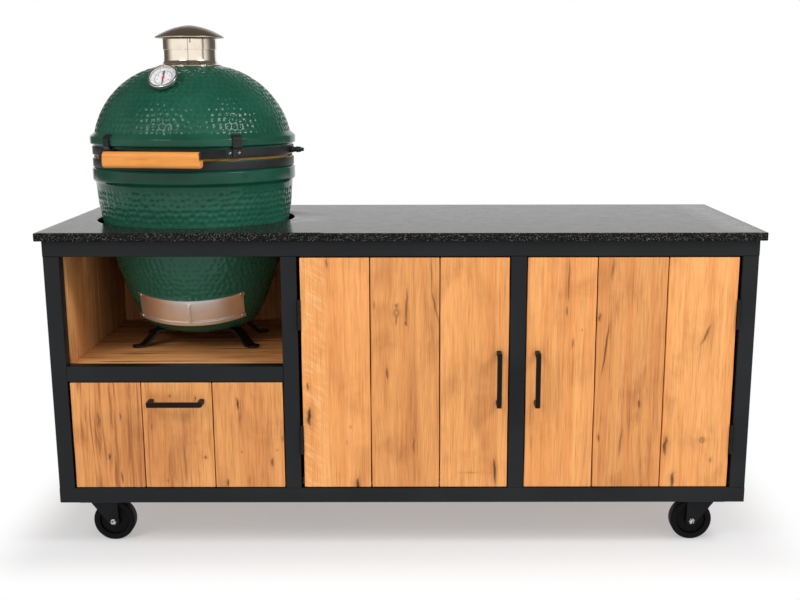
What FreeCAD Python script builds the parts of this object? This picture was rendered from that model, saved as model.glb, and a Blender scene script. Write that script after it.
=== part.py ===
import FreeCAD, Part
import math
import os

import Sketcher

# An outdoor kitchen: a square tube frame on casters with a stone worktop, two plank doors, a drawer
# and a ceramic grill that stands in an open niche and comes up through a round hole in the worktop.
# Millimetres and degrees. +Z is up, the front faces -Y, +X is to the right as seen from the front.
# The origin lies on the floor, under the middle of the object's outer box.

doc = FreeCAD.newDocument("OutdoorKitchen")
sheet = doc.addObject("Spreadsheet::Sheet", "Dims")
sheet_rows = []
nodes = {}


class Size:
    """A length or an angle: its number, and the expression that the document is bound to."""

    def __init__(self, value, text):
        self.value = float(value)
        self.text = text

    def __float__(self):
        return self.value

    def __neg__(self):
        return Size(-self.value, f"(0 - {self.text})")

    def __add__(self, other):
        return join_sizes(self, "+", other)

    def __radd__(self, other):
        return join_sizes(other, "+", self)

    def __sub__(self, other):
        return join_sizes(self, "-", other)

    def __rsub__(self, other):
        return join_sizes(other, "-", self)

    def __mul__(self, other):
        return join_sizes(self, "*", other)

    def __rmul__(self, other):
        return join_sizes(other, "*", self)

    def __truediv__(self, other):
        return join_sizes(self, "/", other)


def as_size(thing):
    """A Size from a Size or a plain number."""
    if isinstance(thing, Size):
        return thing
    return Size(thing, f"({float(thing):.6f})")


def join_sizes(left, sign, right):
    """The Size of a sum, difference, product or quotient."""
    left, right = as_size(left), as_size(right)
    results = {
        "+": left.value + right.value,
        "-": left.value - right.value,
        "*": left.value * right.value,
        "/": left.value / right.value if right.value else 0.0,
    }
    return Size(results[sign], f"({left.text} {sign} {right.text})")


def dimension(alias, value):
    """Write one driving dimension into the sheet and return it as a Size."""
    sheet_rows.append(alias)
    row = len(sheet_rows)
    sheet.set(f"A{row}", alias)
    sheet.set(f"B{row}", str(value))
    sheet.setAlias(f"B{row}", alias)
    return Size(value, f"Dims.{alias}")


class Bend:
    """An arc to the next point of an outline. Side 1 bulges left of the way, -1 right of it."""

    def __init__(self, radius, side):
        self.radius = as_size(radius)
        self.side = side


# Worktop
top_length = dimension("top_length", 1800)
top_depth = dimension("top_depth", 700)
top_thick = dimension("top_thick", 20)
top_height = dimension("top_height", 825)
top_overhang = dimension("top_overhang", 15)
top_shift = dimension("top_shift", 15)
top_hole_radius = dimension("top_hole_radius", 264)

# Frame
tube = dimension("tube", 40)
tube_wall = dimension("tube_wall", 2)
tube_round = dimension("tube_round", 3)
frame_clear = dimension("frame_clear", 125)
niche_post_x = dimension("niche_post_x", -299)
door_post_x = dimension("door_post_x", 272)
niche_rail_top = dimension("niche_rail_top", 487)

# Boards
wall_board = dimension("wall_board", 24)
wall_inset = dimension("wall_inset", 45)
partition_x = dimension("partition_x", -290)
partition_thick = dimension("partition_thick", 22)
back_inset = dimension("back_inset", 31)
back_board = dimension("back_board", 22)
floor_board = dimension("floor_board", 18)
shelf_board = dimension("shelf_board", 20)
shelf_drop = dimension("shelf_drop", 1)
board_gap = dimension("board_gap", 1)
angle_leg = dimension("angle_leg", 25)
angle_thick = dimension("angle_thick", 3)
angle_end_gap = dimension("angle_end_gap", 10)

# Doors and drawer front
plank = dimension("plank", 26)
door_edge_gap = dimension("door_edge_gap", 2)
door_hinge_gap = dimension("door_hinge_gap", 7.5)
door_low_gap = dimension("door_low_gap", 2.5)
door_high_gap = dimension("door_high_gap", 3)
batten_thick = dimension("batten_thick", 20)
batten_height = dimension("batten_height", 70)
batten_inset = dimension("batten_inset", 40)
batten_low = dimension("batten_low", 225)
batten_high = dimension("batten_high", 625)

# Bar handles
bar_side = dimension("bar_side", 12)
bar_length = dimension("bar_length", 140)
bar_reach = dimension("bar_reach", 45)
bar_round = dimension("bar_round", 2)
door_handle_height = dimension("door_handle_height", 457)
left_handle_x = dimension("left_handle_x", 245.5)
right_handle_x = dimension("right_handle_x", 342)
drawer_handle_x = dimension("drawer_handle_x", -571)
drawer_handle_height = dimension("drawer_handle_height", 397)

# Butt hinges
hinge_height = dimension("hinge_height", 76)
hinge_low = dimension("hinge_low", 295)
hinge_high = dimension("hinge_high", 619)
hinge_out = dimension("hinge_out", 3)
hinge_barrel = dimension("hinge_barrel", 4)
hinge_bore = dimension("hinge_bore", 1.6)
hinge_pin = dimension("hinge_pin", 1.55)
hinge_leaf = dimension("hinge_leaf", 2)
hinge_leaf_depth = dimension("hinge_leaf_depth", 25)
hinge_leaf_start = dimension("hinge_leaf_start", 4.5)
hinge_leaf_inset = dimension("hinge_leaf_inset", 0.5)
knuckle_gap = dimension("knuckle_gap", 0.4)
knuckles = 5

# Magnet catches
catch_width = dimension("catch_width", 10)
catch_depth = dimension("catch_depth", 12)
catch_height = dimension("catch_height", 40)
catch_gap = dimension("catch_gap", 0.5)

# Drawer and runners
drawer_left_gap = dimension("drawer_left_gap", 5)
drawer_board = dimension("drawer_board", 15)
drawer_floor = dimension("drawer_floor", 10)
drawer_low = dimension("drawer_low", 200)
drawer_high = dimension("drawer_high", 400)
drawer_depth = dimension("drawer_depth", 520)
runner_length = dimension("runner_length", 500)
runner_mid = dimension("runner_mid", 300)
runner_sheet = dimension("runner_sheet", 1.5)
runner_thick = dimension("runner_thick", 13)
runner_outer_half = dimension("runner_outer_half", 22.5)
runner_middle_half = dimension("runner_middle_half", 20)
runner_inner_half = dimension("runner_inner_half", 17)
runner_lip = dimension("runner_lip", 8)
runner_step = dimension("runner_step", 2)
spacer_half = dimension("spacer_half", 30)
spacer_thick = dimension("spacer_thick", 10)

# Casters
caster_x = dimension("caster_x", 789)
caster_inset = dimension("caster_inset", 80)
caster_trail = dimension("caster_trail", 24)
wheel_radius = dimension("wheel_radius", 54)
wheel_half = dimension("wheel_half", 18)
wheel_round = dimension("wheel_round", 5)
wheel_rim = dimension("wheel_rim", 39)
wheel_web_half = dimension("wheel_web_half", 9)
wheel_draft = dimension("wheel_draft", 2)
hub_radius = dimension("hub_radius", 15)
hub_half = dimension("hub_half", 19.5)
axle_radius = dimension("axle_radius", 5)
axle_half = dimension("axle_half", 31)
axle_nut = dimension("axle_nut", 8)
axle_clear = dimension("axle_clear", 0.06)
axle_proud = dimension("axle_proud", 1)
fork_half = dimension("fork_half", 25)
fork_slot_half = dimension("fork_slot_half", 20.5)
fork_top = dimension("fork_top", 112.5)
fork_roof = dimension("fork_roof", 110)
fork_shoulder = dimension("fork_shoulder", 106)
fork_eye = dimension("fork_eye", 13)
fork_edge_in = dimension("fork_edge_in", 11)
fork_edge_low = dimension("fork_edge_low", 7)
race_radius = dimension("race_radius", 32)
race_top = dimension("race_top", 114.5)
kingpin_radius = dimension("kingpin_radius", 6)
kingpin_short = dimension("kingpin_short", 1)
plate_thick = dimension("plate_thick", 5)
plate_half_x = dimension("plate_half_x", 50)
plate_half_y = dimension("plate_half_y", 42.5)
plate_round = dimension("plate_round", 8)
mount_out_y = dimension("mount_out_y", 65)
mount_in = dimension("mount_in", 60)
mount_chamfer = dimension("mount_chamfer", 35)
caster_bolt_x = dimension("caster_bolt_x", 40)
caster_bolt_y = dimension("caster_bolt_y", 30)
caster_bolt_radius = dimension("caster_bolt_radius", 4)
caster_bolt_hole = dimension("caster_bolt_hole", 4.5)
caster_bolt_head = dimension("caster_bolt_head", 6.5)
caster_head_thick = dimension("caster_head_thick", 5)

# Grill body
grill_x = dimension("grill_x", -560)
grill_y = dimension("grill_y", 25)
grill_turn = -8.5
ceramic = dimension("ceramic", 25)
seam = dimension("seam", 994)
seam_gap = dimension("seam_gap", 0.3)
gasket_thick = dimension("gasket_thick", 2.5)
neck_radius = dimension("neck_radius", 262)
base_bottom = dimension("base_bottom", 530)
base_foot_radius = dimension("base_foot_radius", 112)
base_foot_bend = dimension("base_foot_bend", 55)
base_side_radius = dimension("base_side_radius", 156)
base_side_low = dimension("base_side_low", 553)
base_bend = dimension("base_bend", 1060)
base_belly_radius = dimension("base_belly_radius", 257)
base_belly_height = dimension("base_belly_height", 870)
base_shoulder_radius = dimension("base_shoulder_radius", 261.5)
base_flange_radius = dimension("base_flange_radius", 268.5)
base_flange_low = dimension("base_flange_low", 935)
base_flange_high = dimension("base_flange_high", 963)
flange_draft = dimension("flange_draft", 8)
neck_step = dimension("neck_step", 4)
lid_neck_high = dimension("lid_neck_high", 1025)
lid_flange_radius = dimension("lid_flange_radius", 271)
lid_flange_low = dimension("lid_flange_low", 1027)
lid_flange_high = dimension("lid_flange_high", 1046)
dome_radius = dimension("dome_radius", 258)
dome_low = dimension("dome_low", 1056)
dome_bend = dimension("dome_bend", 222)
dome_top_radius = dimension("dome_top_radius", 81)
dome_top = dimension("dome_top", 1225)
flue_neck_radius = dimension("flue_neck_radius", 65)
flue_neck_top = dimension("flue_neck_top", 1243)
flue_bore = dimension("flue_bore", 52)
band_thick = dimension("band_thick", 4)
band_height = dimension("band_height", 20)
base_band_low = dimension("base_band_low", 968.5)
lid_band_low = dimension("lid_band_low", 1000)
snug = dimension("snug", 0.2)
cut_over = dimension("cut_over", 1)
cut_reach = dimension("cut_reach", 40)

# Parts inside the grill
fire_box_top = dimension("fire_box_top", 760)
fire_box_radius = dimension("fire_box_radius", 195)
fire_box_wall = dimension("fire_box_wall", 22)
fire_box_low_radius = dimension("fire_box_low_radius", 122)
fire_box_foot_radius = dimension("fire_box_foot_radius", 92)
fire_box_floor = dimension("fire_box_floor", 36)
fire_box_hole = dimension("fire_box_hole", 60)
fire_box_foot = dimension("fire_box_foot", 30)
air_way_half = dimension("air_way_half", 40)
air_way_high = dimension("air_way_high", 26)
fire_ring_top = dimension("fire_ring_top", 935)
fire_ring_radius = dimension("fire_ring_radius", 205)
grate_radius = dimension("grate_radius", 98)
grate_thick = dimension("grate_thick", 8)
grate_slot = dimension("grate_slot", 10)
grate_slot_pitch = dimension("grate_slot_pitch", 22)
grate_rim = dimension("grate_rim", 16)
grate_slots_each_side = 3
grid_radius = dimension("grid_radius", 225)
grid_wire = dimension("grid_wire", 6)
grid_bar_radius = dimension("grid_bar_radius", 2.4)
grid_pitch = dimension("grid_pitch", 18)
grid_bars_each_side = 11

# Feet of the grill
foot_ring_inner = dimension("foot_ring_inner", 62)
foot_ring_outer = dimension("foot_ring_outer", 92)
foot_bar = dimension("foot_bar", 6)
foot_width = dimension("foot_width", 34)
foot_top_end = dimension("foot_top_end", 134)
foot_bottom_start = dimension("foot_bottom_start", 172)
foot_bottom_end = dimension("foot_bottom_end", 204)
foot_angles = (-56, 56, 124, -124)

# Lid handle, clips and hinge
grip_length = dimension("grip_length", 250)
grip_height = dimension("grip_height", 42)
grip_depth = dimension("grip_depth", 30)
grip_round = dimension("grip_round", 11)
grip_reach = dimension("grip_reach", 320)
grip_mid = dimension("grip_mid", 998)
arm_thick = dimension("arm_thick", 5)
arm_low = dimension("arm_low", 1001)
arm_high = dimension("arm_high", 1019)
handle_turn = 3.6
arm_foot_turn = 9.2
arm_foot_mid = 36.5
arm_root_turn = 1.6
arm_foot_thick = dimension("arm_foot_thick", 3)
clip_turn = 5.2
clip_mid = 38.2
clip_thick = dimension("clip_thick", 3)
clip_out = dimension("clip_out", 3.4)
clip_lip = dimension("clip_lip", 9)
clip_bend = dimension("clip_bend", 1)
clip_ease = dimension("clip_ease", 2)
clip_ease_rise = dimension("clip_ease_rise", 1.6)
bolt_radius = dimension("bolt_radius", 5.5)
bolt_head = dimension("bolt_head", 5)
inner_bolt_mid = 34
outer_bolt_mid = 39.1
clamp_turn = 88.5
clamp_radius = dimension("clamp_radius", 8)
clamp_reach = dimension("clamp_reach", 30)
clamp_pin = dimension("clamp_pin", 5)
clamp_pin_reach = dimension("clamp_pin_reach", 8)
pin_reach = dimension("pin_reach", 302)
pin_radius = dimension("pin_radius", 5)
pin_half = dimension("pin_half", 62)
pin_clear = dimension("pin_clear", 0.06)
cheek_inner = dimension("cheek_inner", 51)
cheek_thick = dimension("cheek_thick", 6)
cheek_low = dimension("cheek_low", 970)
cheek_eye = dimension("cheek_eye", 10)
cheek_slope = dimension("cheek_slope", 15)
barrel_radius = dimension("barrel_radius", 9)
barrel_half = dimension("barrel_half", 48)
hinge_plate = dimension("hinge_plate", 4)
hinge_plate_inset = dimension("hinge_plate_inset", 2)
lug_bite = dimension("lug_bite", 0.9)
base_plate_turn = 30
lid_plate_turn = 20

# Chimney
collar_radius = dimension("collar_radius", 83)
collar_edge = dimension("collar_edge", 3)
collar_top = dimension("collar_top", 1236)
chimney_radius = dimension("chimney_radius", 68.5)
chimney_top = dimension("chimney_top", 1281)
chimney_sheet = dimension("chimney_sheet", 2)
sleeve_radius = dimension("sleeve_radius", 70.4)
sleeve_sheet = dimension("sleeve_sheet", 1.5)
sleeve_low = dimension("sleeve_low", 1266)
sleeve_top = dimension("sleeve_top", 1293)
cap_radius = dimension("cap_radius", 90)
cap_low = dimension("cap_low", 1296)
cap_top = dimension("cap_top", 1329)
cap_sheet = dimension("cap_sheet", 2)
cap_lip = dimension("cap_lip", 3)
cap_bend = dimension("cap_bend", 197)
cap_tab_turn = 12
cap_tab_angles = (60, 180, 300)
cap_tab_low = dimension("cap_tab_low", 1284)
cap_tab_high = dimension("cap_tab_high", 1309.8)

# Thermometer
dial_seat = 36
dial_tilt = 45
dial_turn = -3.75
dial_lift = dimension("dial_lift", 3)
dial_case_radius = dimension("dial_case_radius", 39)
dial_case_height = dimension("dial_case_height", 17)
dial_case_floor = dimension("dial_case_floor", 8.5)
dial_case_foot = dimension("dial_case_foot", 3)
dial_inner_radius = dimension("dial_inner_radius", 35.5)
dial_lip_radius = dimension("dial_lip_radius", 34)
dial_lip = dimension("dial_lip", 2)
dial_stem = dimension("dial_stem", 4)
dial_stem_length = dimension("dial_stem_length", 60)
dial_thick = dimension("dial_thick", 1)
dial_glass = dimension("dial_glass", 2)
needle_low = dimension("needle_low", 11)
needle_thick = dimension("needle_thick", 0.8)
needle_width = dimension("needle_width", 2.6)
needle_long = dimension("needle_long", 27)
needle_tail = dimension("needle_tail", 22)
needle_tail_width = dimension("needle_tail_width", 3.6)
needle_hub = dimension("needle_hub", 4)
needle_hub_high = dimension("needle_hub_high", 2)
spindle = dimension("spindle", 1.5)
spindle_clear = dimension("spindle_clear", 0.06)
needle_rest = 187

# Draft frame and door, curved round an axis that leans forward
draft_tilt = 17
draft_axis_y = dimension("draft_axis_y", 8.3)
draft_axis_height = dimension("draft_axis_height", 651.5)
draft_radius = dimension("draft_radius", 198)
draft_sheet = dimension("draft_sheet", 2)
draft_half = dimension("draft_half", 36)
draft_turn = 88
draft_skirt = dimension("draft_skirt", 24)
draft_skirt_wall = dimension("draft_skirt_wall", 2.5)
draft_skirt_turn = 86
draft_seat = dimension("draft_seat", 0.3)
draft_seat_turn = 90
window_half = dimension("window_half", 21)
window_turn = 34
window_mid = -21
rail_inner_half = dimension("rail_inner_half", 29)
rail_lip_half = dimension("rail_lip_half", 26.5)
rail_lip_in = dimension("rail_lip_in", 3.3)
rail_lip_out = dimension("rail_lip_out", 4.8)
slider_gap = dimension("slider_gap", 0.5)
slider_sheet = dimension("slider_sheet", 2)
slider_half = dimension("slider_half", 28.5)
slider_turn = 43
slider_mid = -20.5
tab_half = dimension("tab_half", 24)
tab_reach = dimension("tab_reach", 14)
tab_turn = 1.2
tab_mid = 0.4
screw_radius = dimension("screw_radius", 4.5)
screw_head = dimension("screw_head", 2)
screw_turn = 41.5
screw_height = dimension("screw_height", 31.2)

# Places that follow from the driving dimensions
frame_x = top_length / 2 - top_overhang
front = top_shift - top_depth / 2 + top_overhang
back = top_shift + top_depth / 2 - top_overhang
inside_front = front + tube
inside_back = back - tube
rail_high = top_height - top_thick
bay_low = frame_clear + tube
bay_high = rail_high - tube
wall_x = frame_x - wall_inset
partition_right = partition_x + partition_thick
floor_top = bay_low + floor_board
shelf_top = niche_rail_top - shelf_drop
post_columns = (-frame_x, niche_post_x, door_post_x, frame_x - tube)
door_low = bay_low + door_low_gap
door_high = bay_high - door_high_gap
left_door_x = (niche_post_x + tube + door_hinge_gap, door_post_x - door_edge_gap)
right_door_x = (door_post_x + tube + door_edge_gap, frame_x - tube - door_hinge_gap)
plank_back = front + plank

doc.recompute()


def vector(x=0, y=0, z=0):
    """A vector from Sizes or numbers."""
    return FreeCAD.Vector(float(x), float(y), float(z))


def turn(axis, degrees):
    """A rotation about one of the three axes."""
    return FreeCAD.Rotation({"x": vector(1), "y": vector(0, 1), "z": vector(0, 0, 1)}[axis], degrees)


def frame_at(x=0, y=0, z=0, rotation=FreeCAD.Rotation()):
    """A local frame for pieces that are set up round their own origin."""
    return FreeCAD.Placement(vector(x, y, z), rotation)


def bind(obj, prop, size):
    """Bind a property to the sheet."""
    obj.setExpression(prop, as_size(size).text)


def place(obj, at, rotation=None):
    """Set an object's rotation and bind its position."""
    if rotation is not None:
        obj.Placement = FreeCAD.Placement(FreeCAD.Vector(), rotation)
    for axis, size in zip("xyz", at):
        bind(obj, f"Placement.Base.{axis}", size)
    return obj


def settle(obj, frame, local=FreeCAD.Placement()):
    """Put an object into a local frame."""
    obj.Placement = frame.multiply(local)
    return obj


def box(name, corner, opposite):
    """A block between two opposite corners, given in any order."""
    obj = doc.addObject("Part::Box", name)
    low = [a if float(a) <= float(b) else b for a, b in zip(corner, opposite)]
    high = [b if float(a) <= float(b) else a for a, b in zip(corner, opposite)]
    for prop, near, far in zip(("Length", "Width", "Height"), low, high):
        bind(obj, prop, as_size(far) - near)
    return place(obj, low)


AXIS_TURNS = {"x": turn("y", 90), "y": turn("x", -90), "z": FreeCAD.Rotation()}


def rod(name, axis, start, radius, length):
    """A round bar that starts at a point and runs along one axis."""
    obj = doc.addObject("Part::Cylinder", name)
    bind(obj, "Radius", radius)
    bind(obj, "Height", length)
    return place(obj, start, AXIS_TURNS[axis])


def local_rod(name, frame, radius, length):
    """A round bar that starts at a local frame's origin and runs along its Z axis."""
    obj = doc.addObject("Part::Cylinder", name)
    bind(obj, "Radius", radius)
    bind(obj, "Height", length)
    return settle(obj, frame)


def hexagon(name, axis, start, radius, length):
    """A hexagonal bar, such as a nut or a bolt head."""
    obj = doc.addObject("Part::Prism", name)
    obj.Polygon = 6
    bind(obj, "Circumradius", radius)
    bind(obj, "Height", length)
    return place(obj, start, AXIS_TURNS[axis])


def fused(name, *pieces):
    """One solid from several."""
    obj = doc.addObject("Part::MultiFuse", name)
    obj.Shapes = list(pieces)
    obj.Refine = True
    return obj


def cut(name, body, *tools):
    """A solid with other solids taken out of it, one after the other."""
    for count, tool in enumerate(tools):
        step = doc.addObject("Part::Cut", f"{name}_{count}")
        step.Base = body
        step.Tool = tool
        body = step
    return body


def node(label, *pieces):
    """Name a finished sub-part. Several pieces stay separate solids in one group."""
    obj = pieces[0]
    if len(pieces) > 1:
        obj = doc.addObject("Part::Compound", label + "_group")
        obj.Links = list(pieces)
    obj.Label = label
    nodes[label] = obj


def rounded(u0, v0, u1, v1, radius):
    """The outline of a rectangle with rounded corners."""
    corner = Bend(radius, -1)
    return [
        (u0 + radius, v0),
        (u1 - radius, v0),
        corner,
        (u1, v0 + radius),
        (u1, v1 - radius),
        corner,
        (u1 - radius, v1),
        (u0 + radius, v1),
        corner,
        (u0, v1 - radius),
        (u0, v0 + radius),
        corner,
    ]


def rectangle(u0, v0, u1, v1):
    """The outline of a plain rectangle."""
    return [(u0, v0), (u1, v0), (u1, v1), (u0, v1)]


def read_outline(outline):
    """The corners of an outline, and for each the bend of the stretch that follows it, or None."""
    corners = []
    bends = []
    for item in outline:
        if isinstance(item, Bend):
            bends[-1] = item
        else:
            corners.append((as_size(item[0]), as_size(item[1])))
            bends.append(None)
    return corners, bends


def stretch(start, end, bend):
    """The line or arc from one corner to the next."""
    a = vector(*start)
    b = vector(*end)
    if bend is None:
        return Part.LineSegment(a, b)
    chord = b - a
    radius = float(bend.radius)
    sag = radius - math.sqrt(radius**2 - chord.Length**2 / 4)
    left = FreeCAD.Vector(-chord.y, chord.x, 0).normalize()
    return Part.Arc(a, (a + b) * 0.5 + left * (sag * bend.side), b)


def draw(sketch, outline):
    """Add a closed outline to a sketch, with every corner and every radius bound to the sheet."""
    corners, bends = read_outline(outline)
    count = len(corners)
    first = sketch.GeometryCount
    for index in range(count):
        sketch.addGeometry(stretch(corners[index], corners[(index + 1) % count], bends[index]), False)

    def end_at(geometry, corner):
        """Which end of a stretch lies on a corner."""
        near = (sketch.getPoint(geometry, 1) - vector(*corner)).Length
        far = (sketch.getPoint(geometry, 2) - vector(*corner)).Length
        return 1 if near < far else 2

    for index, corner in enumerate(corners):
        here = first + index
        before = first + (index - 1) % count
        end = end_at(here, corner)
        sketch.addConstraint(Sketcher.Constraint("Coincident", before, end_at(before, corner), here, end))
        for kind, size, axis in zip(("DistanceX", "DistanceY"), corner, (-2, -1)):
            if float(size) == 0.0:
                sketch.addConstraint(Sketcher.Constraint("PointOnObject", here, end, axis))
                continue
            limit = sketch.addConstraint(Sketcher.Constraint(kind, -1, 1, here, end, float(size)))
            bind(sketch, f"Constraints[{limit}]", size)
        if bends[index] is not None:
            limit = sketch.addConstraint(Sketcher.Constraint("Radius", here, float(bends[index].radius)))
            bind(sketch, f"Constraints[{limit}]", bends[index].radius)


def punch(sketch, holes):
    """Add round holes, given as middle and radius, to a sketch."""
    for u, v, radius in holes:
        circle = Part.Circle(vector(u, v), FreeCAD.Vector(0, 0, 1), float(radius))
        here = sketch.addGeometry(circle, False)
        for kind, size in (("DistanceX", u), ("DistanceY", v)):
            limit = sketch.addConstraint(Sketcher.Constraint(kind, -1, 1, here, 3, float(size)))
            bind(sketch, f"Constraints[{limit}]", size)
        limit = sketch.addConstraint(Sketcher.Constraint("Radius", here, float(radius)))
        bind(sketch, f"Constraints[{limit}]", radius)


def sketched_body(name, plane, outlines, holes=()):
    """A body with one sketch on one of its own origin planes."""
    body = doc.addObject("PartDesign::Body", name)
    sketch = body.newObject("Sketcher::SketchObject", name + "_sketch")
    support = [p for p in body.Origin.OriginFeatures if p.Role == plane + "_Plane"][0]
    sketch.AttachmentSupport = [(support, "")]
    sketch.MapMode = "FlatFace"
    for outline in outlines:
        draw(sketch, outline)
    punch(sketch, holes)
    return body, sketch


def padded(name, plane, outlines, length, holes=(), middle=False):
    """A body pulled straight out of its outlines."""
    body, sketch = sketched_body(name, plane, outlines, holes)
    pad = body.newObject("PartDesign::Pad", name + "_pad")
    pad.Profile = sketch
    bind(pad, "Length", length)
    if middle:
        pad.SideType = "Symmetric"
    return body


def turned(name, outline, degrees=360):
    """A body turned round its own Z axis. A part turn is centred on its +X side."""
    body, sketch = sketched_body(name, "XZ", [outline])
    lathe = body.newObject("PartDesign::Revolution", name + "_turn")
    lathe.Profile = sketch
    lathe.ReferenceAxis = (sketch, ["V_Axis"])
    lathe.Angle = degrees
    lathe.Midplane = degrees < 360
    return body


def sector(name, frame, outline, degrees, facing):
    """A part turn in a local frame, centred on an angle measured from the frame's -Y side."""
    local = FreeCAD.Placement(FreeCAD.Vector(), turn("z", facing - 90))
    return settle(turned(name, outline, degrees), frame, local)


def square_tube(name, axis, corner, length):
    """A length of box tube from its low corner along one axis."""
    outer = rounded(as_size(0), as_size(0), tube, tube, tube_round)
    inner = rounded(tube_wall, tube_wall, tube - tube_wall, tube - tube_wall, tube_round - tube_wall)
    body = padded(name, "XY", [outer, inner], length)
    x, y, z = corner
    lift = 0 if axis == "z" else tube
    return place(body, (x, y, as_size(z) + lift), AXIS_TURNS[axis])


def board_row(name, low, high, axis, count):
    """A row of equal boards that fills a block, side by side along one axis with fine gaps."""
    width = (as_size(high[axis]) - low[axis] - board_gap * (count - 1)) / count
    boards = []
    for index in range(count):
        near = list(low)
        far = list(high)
        near[axis] = as_size(low[axis]) + (width + board_gap) * index
        far[axis] = near[axis] + width
        boards.append(box(f"{name}_{index}", near, far))
    return boards


def make_frame():
    """The welded tube frame with its caster plates and shelf angles."""
    posts = []
    rails = []
    for column, x in enumerate(post_columns):
        for row, y in enumerate((front, inside_back)):
            posts.append(square_tube(f"post_{column}_{row}", "z", (x, y, bay_low), bay_high - bay_low))
        for level, z in enumerate((frame_clear, bay_high)):
            name = f"cross_rail_{column}_{level}"
            rails.append(square_tube(name, "y", (x, inside_front, z), inside_back - inside_front))
    for row, y in enumerate((front, inside_back)):
        for level, z in enumerate((frame_clear, bay_high)):
            rails.append(square_tube(f"long_rail_{row}_{level}", "x", (-frame_x, y, z), frame_x * 2))
    niche_start = -frame_x + tube
    niche_corner = (niche_start, front, niche_rail_top - tube)
    rails.append(square_tube("niche_rail", "x", niche_corner, niche_post_x - niche_start))
    node("frame_posts", *posts)
    node("frame_rails", *rails)

    plates = []
    angle_top = shelf_top - shelf_board
    for side, wall, inward in (("left", -wall_x, 1), ("right", partition_x, -1)):
        ends = (inside_front + angle_end_gap, inside_back - angle_end_gap)
        upright = box(
            f"angle_upright_{side}",
            (wall, ends[0], angle_top - angle_leg),
            (wall + angle_thick * inward, ends[1], angle_top),
        )
        ledge = box(
            f"angle_ledge_{side}",
            (wall, ends[0], angle_top - angle_thick),
            (wall + angle_leg * inward, ends[1], angle_top),
        )
        plates.append(fused(f"shelf_angle_{side}", upright, ledge))
    for name, x, y, side_x, side_y in caster_places():
        outline = [
            (-plate_half_x * side_x, -mount_in * side_y),
            (-plate_half_x * side_x, mount_out_y * side_y),
            (mount_in * side_x, mount_out_y * side_y),
            (mount_in * side_x, (mount_chamfer - mount_in) * side_y),
            ((mount_in - mount_chamfer) * side_x, -mount_in * side_y),
        ]
        mount = padded(f"mount_plate_{name}", "XY", [outline], plate_thick, bolt_holes())
        plates.append(place(mount, (x, y, frame_clear - plate_thick)))
    node("frame_plates", *plates)


def caster_places():
    """Each caster's name, swivel axis, and which way is inward and outward there."""
    near = front + caster_inset
    far = back - caster_inset
    return (
        ("front_left", -caster_x, near, 1, -1),
        ("front_right", caster_x, near, -1, -1),
        ("rear_left", -caster_x, far, 1, 1),
        ("rear_right", caster_x, far, -1, 1),
    )


def bolt_holes():
    """The four bolt holes of a caster plate."""
    return [
        (caster_bolt_x * i, caster_bolt_y * j, caster_bolt_hole) for i in (-1, 1) for j in (-1, 1)
    ]


def make_worktop():
    """The stone slab with the round hole for the grill."""
    half_x = top_length / 2
    half_y = top_depth / 2
    outline = rectangle(-half_x, top_shift - half_y, half_x, top_shift + half_y)
    slab = padded("slab", "XY", [outline], top_thick, [(grill_x, grill_y, top_hole_radius)])
    node("worktop", place(slab, (0, 0, rail_high)))


def make_boards():
    """Side walls, partition, back, floor and niche shelf."""
    walls = []
    for name, x0, x1 in (
        ("left", -wall_x - wall_board, -wall_x),
        ("right", wall_x, wall_x + wall_board),
        ("middle", partition_x, partition_right),
    ):
        low = (x0, inside_front, bay_low)
        high = (x1, inside_back, bay_high)
        walls += board_row(f"wall_{name}", low, high, 1, 2)
    spacer_low = (partition_x - spacer_thick, inside_front, runner_mid - spacer_half)
    spacer_high = (partition_x, inside_front + runner_length, runner_mid + spacer_half)
    walls.append(box("runner_spacer", spacer_low, spacer_high))
    node("wall_boards", *walls)

    backs = []
    for bay in range(3):
        low = (post_columns[bay] + tube, back - back_inset, bay_low)
        high = (post_columns[bay + 1], back - back_inset + back_board, bay_high)
        backs += board_row(f"back_{bay}", low, high, 0, 3)
    node("back_boards", *backs)

    floors = []
    for name, x0, x1 in (("left", -wall_x, partition_x), ("right", partition_right, wall_x)):
        low = (x0, inside_front, bay_low)
        high = (x1, inside_back, floor_top)
        floors += board_row(f"floor_{name}", low, high, 1, 2)
    node("floor_boards", *floors)

    shelf_low = (-wall_x, inside_front, shelf_top - shelf_board)
    shelf_high = (partition_x, inside_back, shelf_top)
    node("niche_shelf", *board_row("shelf", shelf_low, shelf_high, 1, 2))


def bar_handle(name, at, upright):
    """A square bar handle bent to a U, with its feet on the face behind it."""
    half = bar_length / 2
    outer = Bend(bar_round, 1)
    outline = [
        (-half, as_size(0)),
        (-half, bar_reach - bar_round),
        outer,
        (-half + bar_round, bar_reach),
        (half - bar_round, bar_reach),
        outer,
        (half, bar_reach - bar_round),
        (half, as_size(0)),
        (half - bar_side, as_size(0)),
        (half - bar_side, bar_reach - bar_side),
        (-half + bar_side, bar_reach - bar_side),
        (-half + bar_side, as_size(0)),
    ]
    body = padded(name, "XY", [outline], bar_side, middle=True)
    lying = turn("z", 180)
    standing = FreeCAD.Rotation(vector(0, 0, 1), vector(0, -1, 0), vector(1, 0, 0), "XYZ")
    return place(body, at, standing if upright else lying)


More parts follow.
